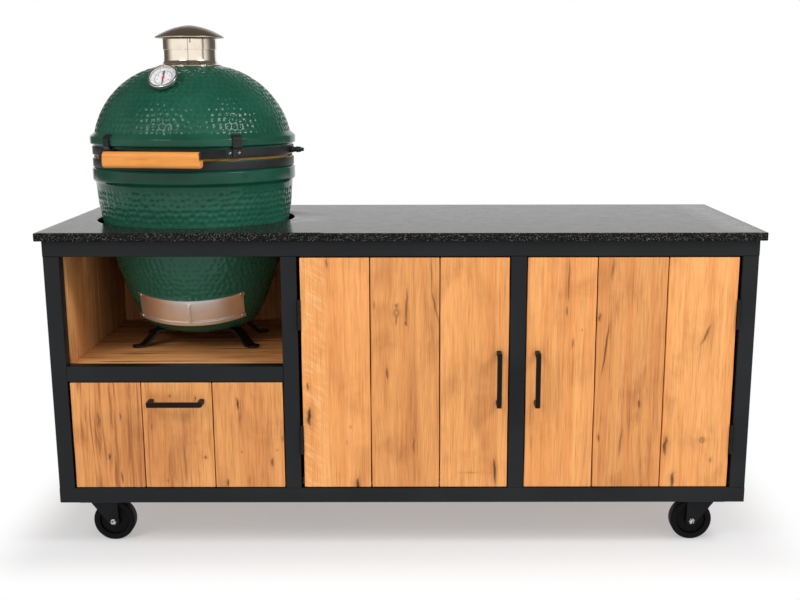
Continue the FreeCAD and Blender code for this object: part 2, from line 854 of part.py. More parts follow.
def hinge_half(name, pivot_x, side, middle, own_knuckles):
    """One leaf of a butt hinge with its knuckles. Side is where the leaf lies along X."""
    pivot_y = front - hinge_out
    low = middle - hinge_height / 2
    near = pivot_x + (hinge_barrel - hinge_leaf_inset - hinge_leaf) * side
    far = pivot_x + (hinge_barrel - hinge_leaf_inset) * side
    leaf_start = pivot_y + hinge_leaf_start
    solids = [
        box(
            f"{name}_leaf",
            (near, leaf_start, low),
            (far, pivot_y + hinge_leaf_depth, low + hinge_height),
        )
    ]
    step = hinge_height / knuckles
    for index in own_knuckles:
        bottom = low + step * index + knuckle_gap / 2
        top = bottom + step - knuckle_gap
        start = (pivot_x, pivot_y, bottom)
        solids.append(rod(f"{name}_barrel_{index}", "z", start, hinge_barrel, top - bottom))
        solids.append(box(f"{name}_tongue_{index}", (near, pivot_y, bottom), (far, leaf_start, top)))
    whole = fused(f"{name}_whole", *solids)
    bore = rod(f"{name}_bore", "z", (pivot_x, pivot_y, low), hinge_bore, hinge_height)
    return cut(f"{name}_drilled", whole, bore)


def make_doors():
    """Both doors with planks, battens, handles and hinges, and the catches on the post between them."""
    fixed = []
    doors = (
        ("left_door", left_door_x, left_door_x[0] - hinge_barrel, 1, left_handle_x),
        ("right_door", right_door_x, right_door_x[1] + hinge_barrel, -1, right_handle_x),
    )
    for name, (x0, x1), pivot_x, side, handle_x in doors:
        low = (x0, front, door_low)
        high = (x1, plank_back, door_high)
        node(f"{name}_planks", *board_row(f"{name}_plank", low, high, 0, 3))
        battens = []
        for level, z in enumerate((batten_low, batten_high)):
            battens.append(
                box(
                    f"{name}_batten_{level}",
                    (x0 + batten_inset, plank_back, z),
                    (x1 - batten_inset, plank_back + batten_thick, z + batten_height),
                )
            )
        node(f"{name}_battens", *battens)
        node(f"{name}_handle", bar_handle(f"{name}_bar", (handle_x, front, door_handle_height), True))
        leaves = []
        for level, middle in enumerate((hinge_low, hinge_high)):
            tag = f"{name}_{level}"
            fixed.append(hinge_half(f"{tag}_post", pivot_x, -side, middle, (0, 2, 4)))
            leaves.append(hinge_half(f"{tag}_door", pivot_x, side, middle, (1, 3)))
            pin_start = (pivot_x, front - hinge_out, middle - hinge_height / 2)
            fixed.append(rod(f"{tag}_pin", "z", pin_start, hinge_pin, hinge_height))
        node(f"{name}_leaves", *leaves)
    node("hinge_post_leaves", *fixed)

    catches = []
    catch_y = plank_back + catch_gap
    for name, face, outward in (("left", door_post_x, -1), ("right", door_post_x + tube, 1)):
        catches.append(
            box(
                f"catch_{name}",
                (face, catch_y, door_handle_height - catch_height / 2),
                (face + catch_width * outward, catch_y + catch_depth, door_handle_height + catch_height / 2),
            )
        )
    node("magnet_catches", *catches)


def channel(name, wall, inward, start, half):
    """A drawer runner member: a channel whose web stands a given way off the wall."""
    web = start
    lip_end = start + runner_lip
    outline = [
        (wall + web * inward, -half),
        (wall + lip_end * inward, -half),
        (wall + lip_end * inward, runner_sheet - half),
        (wall + (web + runner_sheet) * inward, runner_sheet - half),
        (wall + (web + runner_sheet) * inward, half - runner_sheet),
        (wall + lip_end * inward, half - runner_sheet),
        (wall + lip_end * inward, half),
        (wall + web * inward, half),
    ]
    body = padded(name, "XZ", [outline], runner_length)
    return place(body, (0, inside_front + runner_length, runner_mid))


def make_drawer():
    """The drawer: plank front, box, handle, and the three-piece runners on both sides."""
    front_low = (-frame_x + tube + drawer_left_gap, front, door_low)
    front_high = (niche_post_x - door_edge_gap, plank_back, niche_rail_top - tube - door_edge_gap)
    node("drawer_front", *board_row("drawer_plank", front_low, front_high, 0, 3))
    handle_at = (drawer_handle_x, front, drawer_handle_height)
    node("drawer_handle", bar_handle("drawer_bar", handle_at, False))

    left_wall = -wall_x
    right_wall = partition_x - spacer_thick
    x0 = left_wall + runner_thick
    x1 = right_wall - runner_thick
    y0 = plank_back + drawer_board
    y1 = plank_back + drawer_depth
    rear = y1 - drawer_board
    inner0 = x0 + drawer_board
    inner1 = x1 - drawer_board
    node(
        "drawer_box",
        box("drawer_left", (x0, plank_back, drawer_low), (inner0, y1, drawer_high)),
        box("drawer_right", (inner1, plank_back, drawer_low), (x1, y1, drawer_high)),
        box("drawer_inner_front", (inner0, plank_back, drawer_low), (inner1, y0, drawer_high)),
        box("drawer_rear", (inner0, rear, drawer_low), (inner1, y1, drawer_high)),
        box("drawer_bottom", (inner0, y0, drawer_low), (inner1, rear, drawer_low + drawer_floor)),
    )

    outers = []
    middles = []
    inners = []
    for name, wall, inward in (("left", left_wall, 1), ("right", right_wall, -1)):
        outers.append(channel(f"runner_outer_{name}", wall, inward, as_size(0), runner_outer_half))
        middles.append(channel(f"runner_middle_{name}", wall, inward, runner_step, runner_middle_half))
        face = as_size(wall) + runner_thick * inward
        inners.append(channel(f"runner_inner_{name}", face, -inward, as_size(0), runner_inner_half))
    node("runner_outers", *outers)
    node("runner_middles", *middles)
    node("runner_inners", *inners)


def wheel_outline():
    """Half the section of a wheel: hub, thin web and rounded tread."""
    bore = axle_radius + axle_clear
    web_in = hub_radius + wheel_draft
    web_out = wheel_rim - wheel_draft
    tread = wheel_radius - wheel_round
    shoulder = wheel_half - wheel_round
    return [
        (bore, -hub_half),
        (hub_radius, -hub_half),
        (web_in, -wheel_web_half),
        (web_out, -wheel_web_half),
        (wheel_rim, -wheel_half),
        (tread, -wheel_half),
        Bend(wheel_round, -1),
        (wheel_radius, -shoulder),
        (wheel_radius, shoulder),
        Bend(wheel_round, -1),
        (tread, wheel_half),
        (wheel_rim, wheel_half),
        (web_out, wheel_web_half),
        (web_in, wheel_web_half),
        (hub_radius, hub_half),
        (bore, hub_half),
    ]


def caster_bolt(name, x, y, plate_low):
    """A bolt up through both plates of a caster, with its nut."""
    head_start = (x, y, plate_low - caster_head_thick)
    head = hexagon(f"{name}_head", "z", head_start, caster_bolt_head, caster_head_thick)
    shank = rod(f"{name}_shank", "z", (x, y, plate_low), caster_bolt_radius, plate_thick * 2)
    nut = hexagon(f"{name}_nut", "z", (x, y, frame_clear), caster_bolt_head, caster_head_thick)
    return fused(name, head, shank, nut)


def caster_plate(name, x, y, plate_low):
    """A caster's top plate with the kingpin that the fork turns on."""
    outline = rounded(-plate_half_x, -plate_half_y, plate_half_x, plate_half_y, plate_round)
    flat = padded(f"caster_plate_{name}", "XY", [outline], plate_thick, bolt_holes())
    place(flat, (x, y, plate_low))
    start = (x, y, fork_roof + kingpin_short)
    kingpin = rod(f"kingpin_{name}", "z", start, kingpin_radius, plate_low - fork_roof)
    return fused(f"caster_top_{name}", flat, kingpin)


def caster_fork(name, x, y, axle_x, side_x):
    """A fork: a bent plate with two legs and an eye at the axle, under a round ball race."""
    outline = [
        (-race_radius, fork_top),
        (-race_radius, fork_shoulder),
        (caster_trail - fork_edge_in, wheel_radius - fork_edge_low),
        Bend(fork_eye, -1),
        (caster_trail + fork_eye, wheel_radius),
        (caster_trail + fork_eye, fork_shoulder),
        (race_radius, fork_top),
    ]
    facing = frame_at(x, y, 0, turn("z", 0 if side_x > 0 else 180))
    legs = settle(padded(f"fork_legs_{name}", "XZ", [outline], fork_half * 2, middle=True), facing)
    race_high = race_top - fork_roof
    race = rod(f"fork_race_{name}", "z", (x, y, fork_roof), race_radius, race_high)
    blank = fused(f"fork_blank_{name}", legs, race)
    slot = box(
        f"fork_slot_{name}",
        (x - race_radius * 2, y - fork_slot_half, as_size(0)),
        (x + race_radius * 2, y + fork_slot_half, fork_roof),
    )
    pin_hole = rod(f"fork_hole_{name}", "z", (x, y, fork_roof), kingpin_radius + axle_clear, race_high)
    eye_start = (axle_x, y - fork_half * 2, wheel_radius)
    eye_hole = rod(f"fork_eye_{name}", "y", eye_start, axle_radius, fork_half * 4)
    return cut(f"fork_{name}", blank, slot, pin_hole, eye_hole)


def caster_axle(name, axle_x, y):
    """The axle bolt through the fork's eyes, with its head and nut."""
    nut_thick = axle_half - fork_half - axle_proud
    rod_start = (axle_x, y - axle_half, wheel_radius)
    head_start = (axle_x, y - fork_half - nut_thick, wheel_radius)
    nut_start = (axle_x, y + fork_half, wheel_radius)
    return fused(
        f"axle_{name}",
        rod(f"axle_rod_{name}", "y", rod_start, axle_radius, axle_half * 2),
        hexagon(f"axle_head_{name}", "y", head_start, axle_nut, nut_thick),
        hexagon(f"axle_nut_{name}", "y", nut_start, axle_nut, nut_thick),
    )


def make_casters():
    """Four swivel casters: bolted plate with kingpin, fork with axle bolt, and wheel."""
    plates = []
    bolts = []
    plate_low = frame_clear - plate_thick * 2
    for name, x, y, side_x, _ in caster_places():
        plates.append(caster_plate(name, x, y, plate_low))
        for index, (dx, dy, _) in enumerate(bolt_holes()):
            bolts.append(caster_bolt(f"caster_bolt_{name}_{index}", x + dx, y + dy, plate_low))
        axle_x = x + caster_trail * side_x
        fork = caster_fork(name, x, y, axle_x, side_x)
        node(f"caster_fork_{name}", fork, caster_axle(name, axle_x, y))
        wheel = turned(f"wheel_{name}_body", wheel_outline())
        node(f"caster_wheel_{name}", place(wheel, (axle_x, y, wheel_radius), AXIS_TURNS["y"]))
    node("caster_top_plates", *plates)
    node("caster_bolts", *bolts)


grill = frame_at(grill_x, grill_y)
lid_frame = grill.multiply(frame_at(rotation=turn("z", grill_turn)))
draft_frame = grill.multiply(frame_at(0, draft_axis_y, draft_axis_height, turn("x", draft_tilt)))


def ring_outline(inner, outer, low, high):
    """The section of a plain ring."""
    return rectangle(inner, low, outer, high)


def make_grill_base():
    """The ceramic base with its draft opening, the draft frame, its screws and its sliding door."""
    rim = seam - gasket_thick
    axis = as_size(0)
    inner_bottom = base_bottom + ceramic
    outline = [
        (axis, base_bottom),
        (base_foot_radius, base_bottom),
        Bend(base_foot_bend, -1),
        (base_side_radius, base_side_low),
        Bend(base_bend, -1),
        (base_belly_radius, base_belly_height),
        (base_shoulder_radius, base_flange_low - flange_draft),
        (base_flange_radius, base_flange_low),
        (base_flange_radius, base_flange_high),
        (neck_radius, base_flange_high + neck_step),
        (neck_radius, rim),
        (neck_radius - ceramic, rim),
        (base_belly_radius - ceramic, base_belly_height),
        Bend(base_bend - ceramic, 1),
        (base_side_radius - ceramic, base_side_low + ceramic),
        (base_foot_radius, inner_bottom),
        (axis, inner_bottom),
    ]
    shell = settle(turned("base_shell", outline), grill)
    back_face = draft_radius - draft_sheet
    seat_half = draft_half + draft_seat * 2
    seat_section = ring_outline(back_face - draft_seat, draft_radius + cut_reach, -seat_half, seat_half)
    seat = sector("draft_seat_cut", draft_frame, seat_section, draft_seat_turn, 0)
    hole_section = ring_outline(draft_radius - cut_reach * 2, draft_radius, -window_half, window_half)
    hole = sector("draft_hole_cut", draft_frame, hole_section, window_turn, window_mid)
    base = cut("base_cut", shell, seat, hole)
    node("kamado_base", base)

    plate_section = ring_outline(back_face, draft_radius, -draft_half, draft_half)
    plate = sector("draft_plate", draft_frame, plate_section, draft_turn, 0)
    skirt_in = back_face - draft_skirt
    skirt_section = ring_outline(skirt_in, back_face, -draft_half, draft_half)
    skirt = sector("draft_skirt_block", draft_frame, skirt_section, draft_turn, 0)
    hollow_half = draft_half - draft_skirt_wall
    hollow_section = ring_outline(skirt_in - cut_over, back_face, -hollow_half, hollow_half)
    hollow = sector("draft_skirt_hollow", draft_frame, hollow_section, draft_skirt_turn, 0)
    skirt_wall = cut("draft_skirt_wall", skirt, hollow)
    rails = []
    for name, side in (("low", -1), ("high", 1)):
        rail_outline = [
            (draft_radius, rail_inner_half * side),
            (draft_radius + rail_lip_in, rail_inner_half * side),
            (draft_radius + rail_lip_in, rail_lip_half * side),
            (draft_radius + rail_lip_out, rail_lip_half * side),
            (draft_radius + rail_lip_out, draft_half * side),
            (draft_radius, draft_half * side),
        ]
        rails.append(sector(f"draft_rail_{name}", draft_frame, rail_outline, draft_turn, 0))
    window_section = ring_outline(skirt_in, draft_radius + cut_over, -window_half, window_half)
    window = sector("draft_window", draft_frame, window_section, window_turn, window_mid)
    whole = fused("draft_whole", plate, skirt_wall, *rails)
    node("draft_frame", cut("draft_frame_cut", whole, window, base))

    screws = []
    for side in (-1, 1):
        for level in (-1, 1):
            aside = draft_frame.multiply(frame_at(rotation=turn("z", screw_turn * side)))
            ahead = frame_at(0, -(draft_radius + rail_lip_out), screw_height * level, turn("x", 90))
            name = f"draft_screw_{side + 1}_{level + 1}"
            screws.append(local_rod(name, aside.multiply(ahead), screw_radius, screw_head))
    node("draft_screws", *screws)

    slider_in = draft_radius + slider_gap
    slider_section = ring_outline(slider_in, slider_in + slider_sheet, -slider_half, slider_half)
    slider = sector("draft_slider", draft_frame, slider_section, slider_turn, slider_mid)
    tab_section = ring_outline(slider_in, draft_radius + tab_reach, -tab_half, tab_half)
    tab = sector("draft_tab", draft_frame, tab_section, tab_turn, tab_mid)
    node("draft_door", fused("draft_slider_whole", slider, tab))


def make_grill_inside():
    """Fire box, grate, fire ring and cooking grid, stacked inside the base."""
    low = base_bottom + ceramic
    floor_level = low + fire_box_floor
    outline = [
        (fire_box_hole, low),
        (fire_box_foot_radius, low),
        (fire_box_low_radius, low + fire_box_foot),
        (fire_box_radius, fire_box_top),
        (fire_box_radius - fire_box_wall, fire_box_top),
        (fire_box_low_radius - fire_box_wall, floor_level),
        (fire_box_hole, floor_level),
    ]
    bowl = settle(turned("fire_bowl", outline), grill)
    air_way = box(
        "fire_air_way",
        (grill_x - air_way_half, grill_y - fire_box_radius, low),
        (grill_x + air_way_half, grill_y, low + air_way_high),
    )
    node("fire_box", cut("fire_box_cut", bowl, air_way))

    disc_section = rectangle(as_size(0), floor_level, grate_radius, floor_level + grate_thick)
    disc = settle(turned("grate_disc", disc_section), grill)
    slots = []
    half_slot = grate_slot / 2
    for step in range(-grate_slots_each_side, grate_slots_each_side + 1):
        x = grill_x + grate_slot_pitch * step
        edge = float(grate_slot_pitch) * abs(step) + float(half_slot)
        reach = math.sqrt(float(grate_radius - grate_rim) ** 2 - edge**2)
        near = (x - half_slot, grill_y - reach, floor_level)
        far = (x + half_slot, grill_y + reach, floor_level + grate_thick)
        slots.append(box(f"grate_slot_{step + grate_slots_each_side}", near, far))
    node("fire_grate", cut("grate_cut", disc, *slots))

    ring = [
        (fire_box_radius - fire_box_wall, fire_box_top),
        (fire_box_radius, fire_box_top),
        (fire_ring_radius, fire_ring_top),
        (fire_ring_radius - fire_box_wall, fire_ring_top),
    ]
    node("fire_ring", settle(turned("fire_ring_body", ring), grill))

    rim_in = grid_radius - grid_wire
    rim_section = ring_outline(rim_in, grid_radius, fire_ring_top, fire_ring_top + grid_wire)
    rim = settle(turned("grid_rim", rim_section), grill)
    bars = [rim]
    wire = grid_wire / 2
    for step in range(-grid_bars_each_side, grid_bars_each_side + 1):
        offset = grid_pitch * step
        reach = math.sqrt(float(rim_in) ** 2 - float(offset) ** 2) + float(wire)
        start = (grill_x + offset, grill_y - reach, fire_ring_top + wire)
        bars.append(rod(f"grid_bar_{step + grid_bars_each_side}", "y", start, grid_bar_radius, reach * 2))
    node("cooking_grid", fused("grid_whole", *bars))


def make_grill_feet():
    """The ring with four bent flat feet that carries the grill on the shelf."""
    ring_low = base_bottom - foot_bar
    ring_section = ring_outline(foot_ring_inner, foot_ring_outer, ring_low, base_bottom)
    ring = settle(turned("foot_ring", ring_section), grill)
    pad_radius = foot_width / 2
    pad_middle = foot_bottom_end - pad_radius
    outline = [
        (foot_ring_inner, ring_low),
        (foot_top_end - foot_bar / 2, ring_low),
        (foot_bottom_start, shelf_top),
        (pad_middle, shelf_top),
        (pad_middle, shelf_top + foot_bar),
        (foot_bottom_start + foot_bar / 2, shelf_top + foot_bar),
        (foot_top_end, base_bottom),
        (foot_ring_inner, base_bottom),
    ]
    feet = [ring]
    for angle in foot_angles:
        label = angle + 180
        leg = padded(f"foot_leg_{label}", "XZ", [outline], foot_width, middle=True)
        pad = rod(f"foot_pad_{label}", "z", (pad_middle, 0, shelf_top), pad_radius, foot_bar)
        foot = fused(f"foot_{label}", leg, pad)
        feet.append(settle(foot, grill, FreeCAD.Placement(FreeCAD.Vector(), turn("z", angle - 90))))
    node("kamado_feet", fused("feet_whole", *feet))


def make_bands():
    """The two gaskets at the seam and the two steel bands round the necks."""
    gasket_in = neck_radius - ceramic
    band_in = neck_radius + snug
    band_out = neck_radius + band_thick
    rim = seam - gasket_thick
    lid_rim = seam + seam_gap
    rings = (
        ("base_gasket", grill, gasket_in, neck_radius, rim, seam),
        ("base_band", lid_frame, band_in, band_out, base_band_low, base_band_low + band_height),
        ("lid_gasket", grill, gasket_in, neck_radius, lid_rim, lid_rim + gasket_thick),
        ("lid_band", lid_frame, band_in, band_out, lid_band_low, lid_band_low + band_height),
    )
    for label, frame, inner, outer, low, high in rings:
        node(label, settle(turned(f"{label}_ring", ring_outline(inner, outer, low, high)), frame))


def thermometer_frame():
    """The frame off the dome's outside whose Z axis is the dial's axis."""
    chord_r = float(dome_top_radius) - float(dome_radius)
    chord_z = float(dome_top) - float(dome_low)
    chord = math.hypot(chord_r, chord_z)
    rise = math.sqrt(float(dome_bend) ** 2 - chord**2 / 4)
    middle_r = (float(dome_radius) + float(dome_top_radius)) / 2 - rise * chord_z / chord
    middle_z = (float(dome_low) + float(dome_top)) / 2 + rise * chord_r / chord
    lean = math.radians(dial_seat)
    reach = middle_r + float(dome_bend) * math.sin(lean)
    height = middle_z + float(dome_bend) * math.cos(lean)
    sideways = frame_at(rotation=turn("z", dial_turn))
    seat = lid_frame.multiply(sideways).multiply(frame_at(0, -reach, height, turn("x", dial_tilt)))
    return seat.multiply(frame_at(0, 0, dial_lift))


def make_lid():
    """The ceramic lid with the hole for the thermometer's stem."""
    rim = seam + seam_gap + gasket_thick
    outline = [
        (neck_radius, rim),
        (neck_radius, lid_neck_high),
        (lid_flange_radius, lid_flange_low),
        (lid_flange_radius, lid_flange_high),
        (dome_radius, dome_low),
        Bend(dome_bend, -1),
        (dome_top_radius, dome_top),
        (flue_neck_radius, dome_top + neck_step / 2),
        (flue_neck_radius, flue_neck_top),
        (flue_bore, flue_neck_top),
        (flue_bore, dome_top - ceramic),
        (dome_top_radius, dome_top - ceramic),
        Bend(dome_bend - ceramic, 1),
        (dome_radius - ceramic, dome_low),
        (neck_radius - ceramic, rim),
    ]
    shell = settle(turned("lid_shell", outline), lid_frame)
    hole_start = thermometer_frame().multiply(frame_at(0, 0, -dial_stem_length))
    hole = local_rod("stem_hole", hole_start, dial_stem + snug, dial_stem_length * 2)
    node("kamado_lid", cut("lid_cut", shell, hole))


def round_point(radius, angle):
    """A point in plan at a distance from the axis and an angle from the front, growing to the right."""
    aside = math.radians(angle)
    return (float(radius) * math.sin(aside), -float(radius) * math.cos(aside))


def make_lid_handle():
    """The wooden grip, its two arms, the clips over the lid's flange, and the bolts."""
    foot_in = neck_radius + band_thick
    foot_out = foot_in + arm_foot_thick
    half = grip_length / 2
    depth = grip_depth / 2
    height = grip_height / 2
    grip_outline = rounded(-depth, -height, depth, height, grip_round)
    grip = padded("grip_bar", "YZ", [grip_outline], grip_length, middle=True)
    node("handle_grip", settle(grip, lid_frame, frame_at(0, -grip_reach, grip_mid)))

    arms = []
    clips = []
    bolts = []
    root_radius = foot_in - arm_thick / 2
    root_start = arm_foot_mid - arm_foot_turn / 2
    grip_front = -(grip_reach + depth)
    grip_back = -(grip_reach - depth)
    clip_top = lid_flange_high + clip_thick / 2
    clip_in = foot_out
    clip_up = clip_in + clip_out
    lip_in = lid_flange_radius - clip_lip
    lip_rise = clip_lip * (float(dome_low - lid_flange_high) / float(lid_flange_radius - dome_radius))
    clip_outline = [
        (clip_in, arm_low),
        (clip_in + clip_thick, arm_low),
        (clip_in + clip_thick, arm_high),
        (clip_up + clip_thick, lid_neck_high),
        (clip_up + clip_thick, clip_top - clip_ease),
        (clip_up + clip_thick - clip_ease, clip_top + clip_ease_rise),
        (lip_in + clip_thick, lid_flange_high + lip_rise + clip_thick),
        (lip_in + snug * 2, lid_flange_high + lip_rise + snug * 2),
        (clip_up, lid_flange_high + snug),
        (clip_up, lid_neck_high),
        (clip_in, arm_high + clip_bend),
    ]
    for name, side in (("left", -1), ("right", 1)):
        foot_section = ring_outline(foot_in, foot_out, arm_low, arm_high)
        foot_angle = arm_foot_mid * side + handle_turn
        foot = sector(f"arm_foot_{name}", lid_frame, foot_section, arm_foot_turn, foot_angle)
        root_near = round_point(root_radius, root_start * side + handle_turn)
        root_far = round_point(root_radius, (root_start + arm_root_turn) * side + handle_turn)
        strap_outline = [
            (half * side, grip_front),
            ((half + arm_thick) * side, grip_front),
            ((half + arm_thick) * side, grip_back),
            root_far,
            root_near,
            (half * side, grip_back),
        ]
        strap = padded(f"arm_strap_{name}", "XY", [strap_outline], arm_high - arm_low)
        settle(strap, lid_frame, frame_at(0, 0, arm_low))
        band_space = turned(f"arm_band_space_{name}", rectangle(as_size(0), arm_low, foot_in, arm_high))
        trimmed = cut(f"arm_strap_cut_{name}", strap, settle(band_space, lid_frame))
        arms.append(fused(f"arm_{name}", foot, trimmed))
        clip_angle = clip_mid * side + handle_turn
        clips.append(sector(f"clip_{name}", lid_frame, clip_outline, clip_turn, clip_angle))
        clip_face = foot_out + clip_thick
        inner_bolt_angle = inner_bolt_mid * side + handle_turn
        outer_bolt_angle = outer_bolt_mid * side + handle_turn
        bolts += [
            radial_rod(f"lid_bolt_inner_{name}", inner_bolt_angle, foot_out, bolt_radius, bolt_head),
            radial_rod(f"lid_bolt_outer_{name}", outer_bolt_angle, clip_face, bolt_radius, bolt_head),
        ]
    node("handle_brackets", *arms, *clips)
    clamp_start = neck_radius + band_thick
    clamp_end = clamp_start + clamp_reach
    clamp = fused(
        "band_clamp",
        radial_rod("clamp_block", clamp_turn, clamp_start, clamp_radius, clamp_reach),
        radial_rod("clamp_tip", clamp_turn, clamp_end, clamp_pin, clamp_pin_reach),
    )
    node("lid_bolts", *bolts, clamp)


def radial_rod(name, angle, start, radius, length):
    """A round piece on the lid's band that points straight outward."""
    aside = lid_frame.multiply(frame_at(rotation=turn("z", angle)))
    outward = frame_at(0, -start, lid_band_low + band_height / 2, turn("x", 90))
    return local_rod(name, aside.multiply(outward), radius, length)


def make_lid_hinge():
    """The rear hinge: a bracket with its pin on the base's band, and an arm on the lid's band."""
    band_out = neck_radius + band_thick + snug
    plate_out = band_out + hinge_plate
    plate_high = base_band_low + band_height
    base_section = ring_outline(band_out, plate_out, cheek_low, plate_high)
    bracket = [sector("bracket_plate", lid_frame, base_section, base_plate_turn, 180)]
    cheek_start = math.sqrt(float(band_out) ** 2 - float(cheek_inner) ** 2)
    eye_end = pin_reach + cheek_eye
    cheek_outline = [
        (cheek_start, cheek_low),
        (pin_reach, cheek_low),
        (eye_end, seam - cheek_eye),
        (eye_end, seam + cheek_eye),
        (pin_reach - cheek_eye, seam + cheek_eye),
        (pin_reach - cheek_slope, plate_high),
        (cheek_start, plate_high),
    ]
    for name, side in (("left", -1), ("right", 1)):
        cheek = padded(f"cheek_{name}", "YZ", [cheek_outline], cheek_thick, middle=True)
        bracket.append(settle(cheek, lid_frame, frame_at((cheek_inner + cheek_thick / 2) * side)))
    whole = fused("bracket_whole", *bracket)
    pin_line = lid_frame.multiply(frame_at(-pin_half, pin_reach, seam, AXIS_TURNS["x"]))
    pin = local_rod("lid_pin", pin_line, pin_radius, pin_half * 2)
    pin_hole = local_rod("lid_pin_hole", pin_line, pin_radius, pin_half * 2)
    node("lid_hinge_bracket", cut("bracket_cut", whole, pin_hole), pin)

    plate_low = lid_band_low + hinge_plate_inset
    plate_top = lid_band_low + band_height - hinge_plate_inset
    lid_section = ring_outline(band_out, plate_out, plate_low, plate_top)
    lid_plate = sector("arm_plate", lid_frame, lid_section, lid_plate_turn, 180)
    lug_start = math.sqrt(float(band_out) ** 2 - float(barrel_half) ** 2) + float(hinge_plate) / 2
    lug_outline = [
        (lug_start, plate_low),
        (pin_reach - barrel_radius + lug_bite, seam),
        (pin_reach, seam + barrel_radius),
        (lug_start, plate_top),
    ]
    lug_block = settle(padded("arm_lug_block", "YZ", [lug_outline], barrel_half * 2, middle=True), lid_frame)
    band_section = rectangle(as_size(0), seam, band_out, plate_top)
    band_space = settle(turned("arm_band_space", band_section), lid_frame)
    lug = cut("arm_lug", lug_block, band_space)
    barrel_line = lid_frame.multiply(frame_at(-barrel_half, pin_reach, seam, AXIS_TURNS["x"]))
    barrel = local_rod("arm_barrel", barrel_line, barrel_radius, barrel_half * 2)
    bore = local_rod("arm_bore", pin_line, pin_radius + pin_clear, pin_half * 2)
    node("lid_hinge_arm", cut("arm_cut", fused("arm_whole", lid_plate, lug, barrel), bore))


def make_chimney():
    """The chimney on the lid's neck, and above it the turning sleeve with the rain cap."""
    bore = chimney_radius - chimney_sheet
    chimney_outline = [
        (dome_top_radius, dome_top),
        (collar_radius, dome_top),
        (collar_radius, dome_top + collar_edge / 2),
        (chimney_radius + collar_edge / 2, collar_top - collar_edge / 2),
        (chimney_radius, collar_top + collar_edge),
        (chimney_radius, chimney_top),
        (bore, chimney_top),
        (bore, dome_top + neck_step / 2),
    ]
    node("chimney", settle(turned("chimney_tube", chimney_outline), lid_frame))
    sleeve_in = sleeve_radius - sleeve_sheet
    sleeve_section = ring_outline(sleeve_in, sleeve_radius, sleeve_low, sleeve_top)
    node("chimney_sleeve", settle(turned("sleeve_tube", sleeve_section), lid_frame))
    axis = as_size(0)
    hat_outline = [
        (axis, cap_top - cap_sheet),
        (axis, cap_top),
        Bend(cap_bend, 1),
        (cap_radius, cap_low + cap_lip),
        (cap_radius, cap_low),
        (cap_radius - cap_sheet, cap_low),
        (cap_radius - cap_sheet, cap_low + cap_lip - cap_sheet / 2),
        Bend(cap_bend - cap_sheet, -1),
    ]
    hat = settle(turned("cap_hat", hat_outline), lid_frame)
    tab_section = ring_outline(sleeve_in - cap_sheet, sleeve_in, cap_tab_low, cap_tab_high)
    tabs = [sector(f"cap_tab_{at}", lid_frame, tab_section, cap_tab_turn, at) for at in cap_tab_angles]
    node("rain_cap", fused("cap_whole", hat, *tabs))


def make_thermometer():
    """The thermometer on the dome: case with stem, dial, glass and needle."""
    axis = as_size(0)
    frame = thermometer_frame()
    lip_low = dial_case_height - dial_lip
    case_outline = [
        (axis, -dial_stem_length),
        (dial_stem, -dial_stem_length),
        (dial_stem, dial_case_foot),
        (dial_inner_radius - dial_case_foot, dial_case_foot),
        (dial_case_radius, dial_case_foot * 2),
        (dial_case_radius, dial_case_height - dial_lip / 2),
        (dial_case_radius - dial_lip / 2, dial_case_height),
        (dial_lip_radius, dial_case_height),
        (dial_lip_radius, lip_low),
        (dial_inner_radius, lip_low),
        (dial_inner_radius, dial_case_floor),
        (axis, dial_case_floor),
    ]
    node("thermometer_case", settle(turned("dial_case", case_outline), frame))
    disc_radius = dial_inner_radius - snug
    dial_top = dial_case_floor + dial_thick
    hole = spindle + spindle_clear
    disc_section = ring_outline(hole, disc_radius, dial_case_floor, dial_top)
    node("thermometer_dial", settle(turned("dial_disc", disc_section), frame))
    glass_section = ring_outline(axis, disc_radius, lip_low - dial_glass, lip_low)
    node("thermometer_glass", settle(turned("dial_window", glass_section), frame))
    hand = box(
        "needle_hand",
        (-needle_width / 2, 0, needle_low),
        (needle_width / 2, needle_long, needle_low + needle_thick),
    )
    tail = box(
        "needle_tail_end",
        (-needle_tail_width / 2, -needle_tail, needle_low),
        (needle_tail_width / 2, 0, needle_low + needle_thick),
    )
    boss = rod("needle_boss", "z", (0, 0, needle_low - needle_thick), needle_hub, needle_hub_high)
    shaft = rod("needle_shaft", "z", (0, 0, dial_case_floor + snug), spindle, needle_low - dial_case_floor)
    pointer = fused("needle_whole", hand, tail, boss, shaft)
    node("thermometer_needle", settle(pointer, frame.multiply(frame_at(rotation=turn("z", needle_rest)))))


def write_parts():
    """Check every object and every sub-part, then write one file for each sub-part."""
    doc.recompute()
    bad = [obj.Name for obj in doc.Objects if "Invalid" in obj.State or "Error" in obj.State]
    if bad:
        raise RuntimeError(f"objects that failed: {bad}")
    for label, obj in nodes.items():
        if obj.Shape.isNull() or not obj.Shape.isValid() or not obj.Shape.Solids:
            raise RuntimeError(f"{label} has no valid solid")
    os.makedirs("parts", exist_ok=True)
    for label, obj in nodes.items():
        obj.Shape.exportStep(f"parts/{label}.step")
        print(f"{label}: {len(obj.Shape.Solids)} solids, {obj.Shape.Volume / 1000:.1f} cm3")
    print(f"{len(nodes)} sub-parts")


make_frame()
make_worktop()
make_boards()
make_doors()
make_drawer()
make_casters()
make_grill_base()
make_grill_inside()
make_grill_feet()
make_bands()
make_lid()
make_lid_handle()
make_lid_hinge()
make_chimney()
make_thermometer()
write_parts()
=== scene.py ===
"""Outdoor kitchen: a granite top on a steel frame, plank doors, a drawer and a ceramic grill in its niche."""

import functools
import itertools
import logging
import math
from collections.abc import Callable
from dataclasses import dataclass, field
from enum import Enum

import bpy
import numpy as np
from mathutils import Matrix, Vector


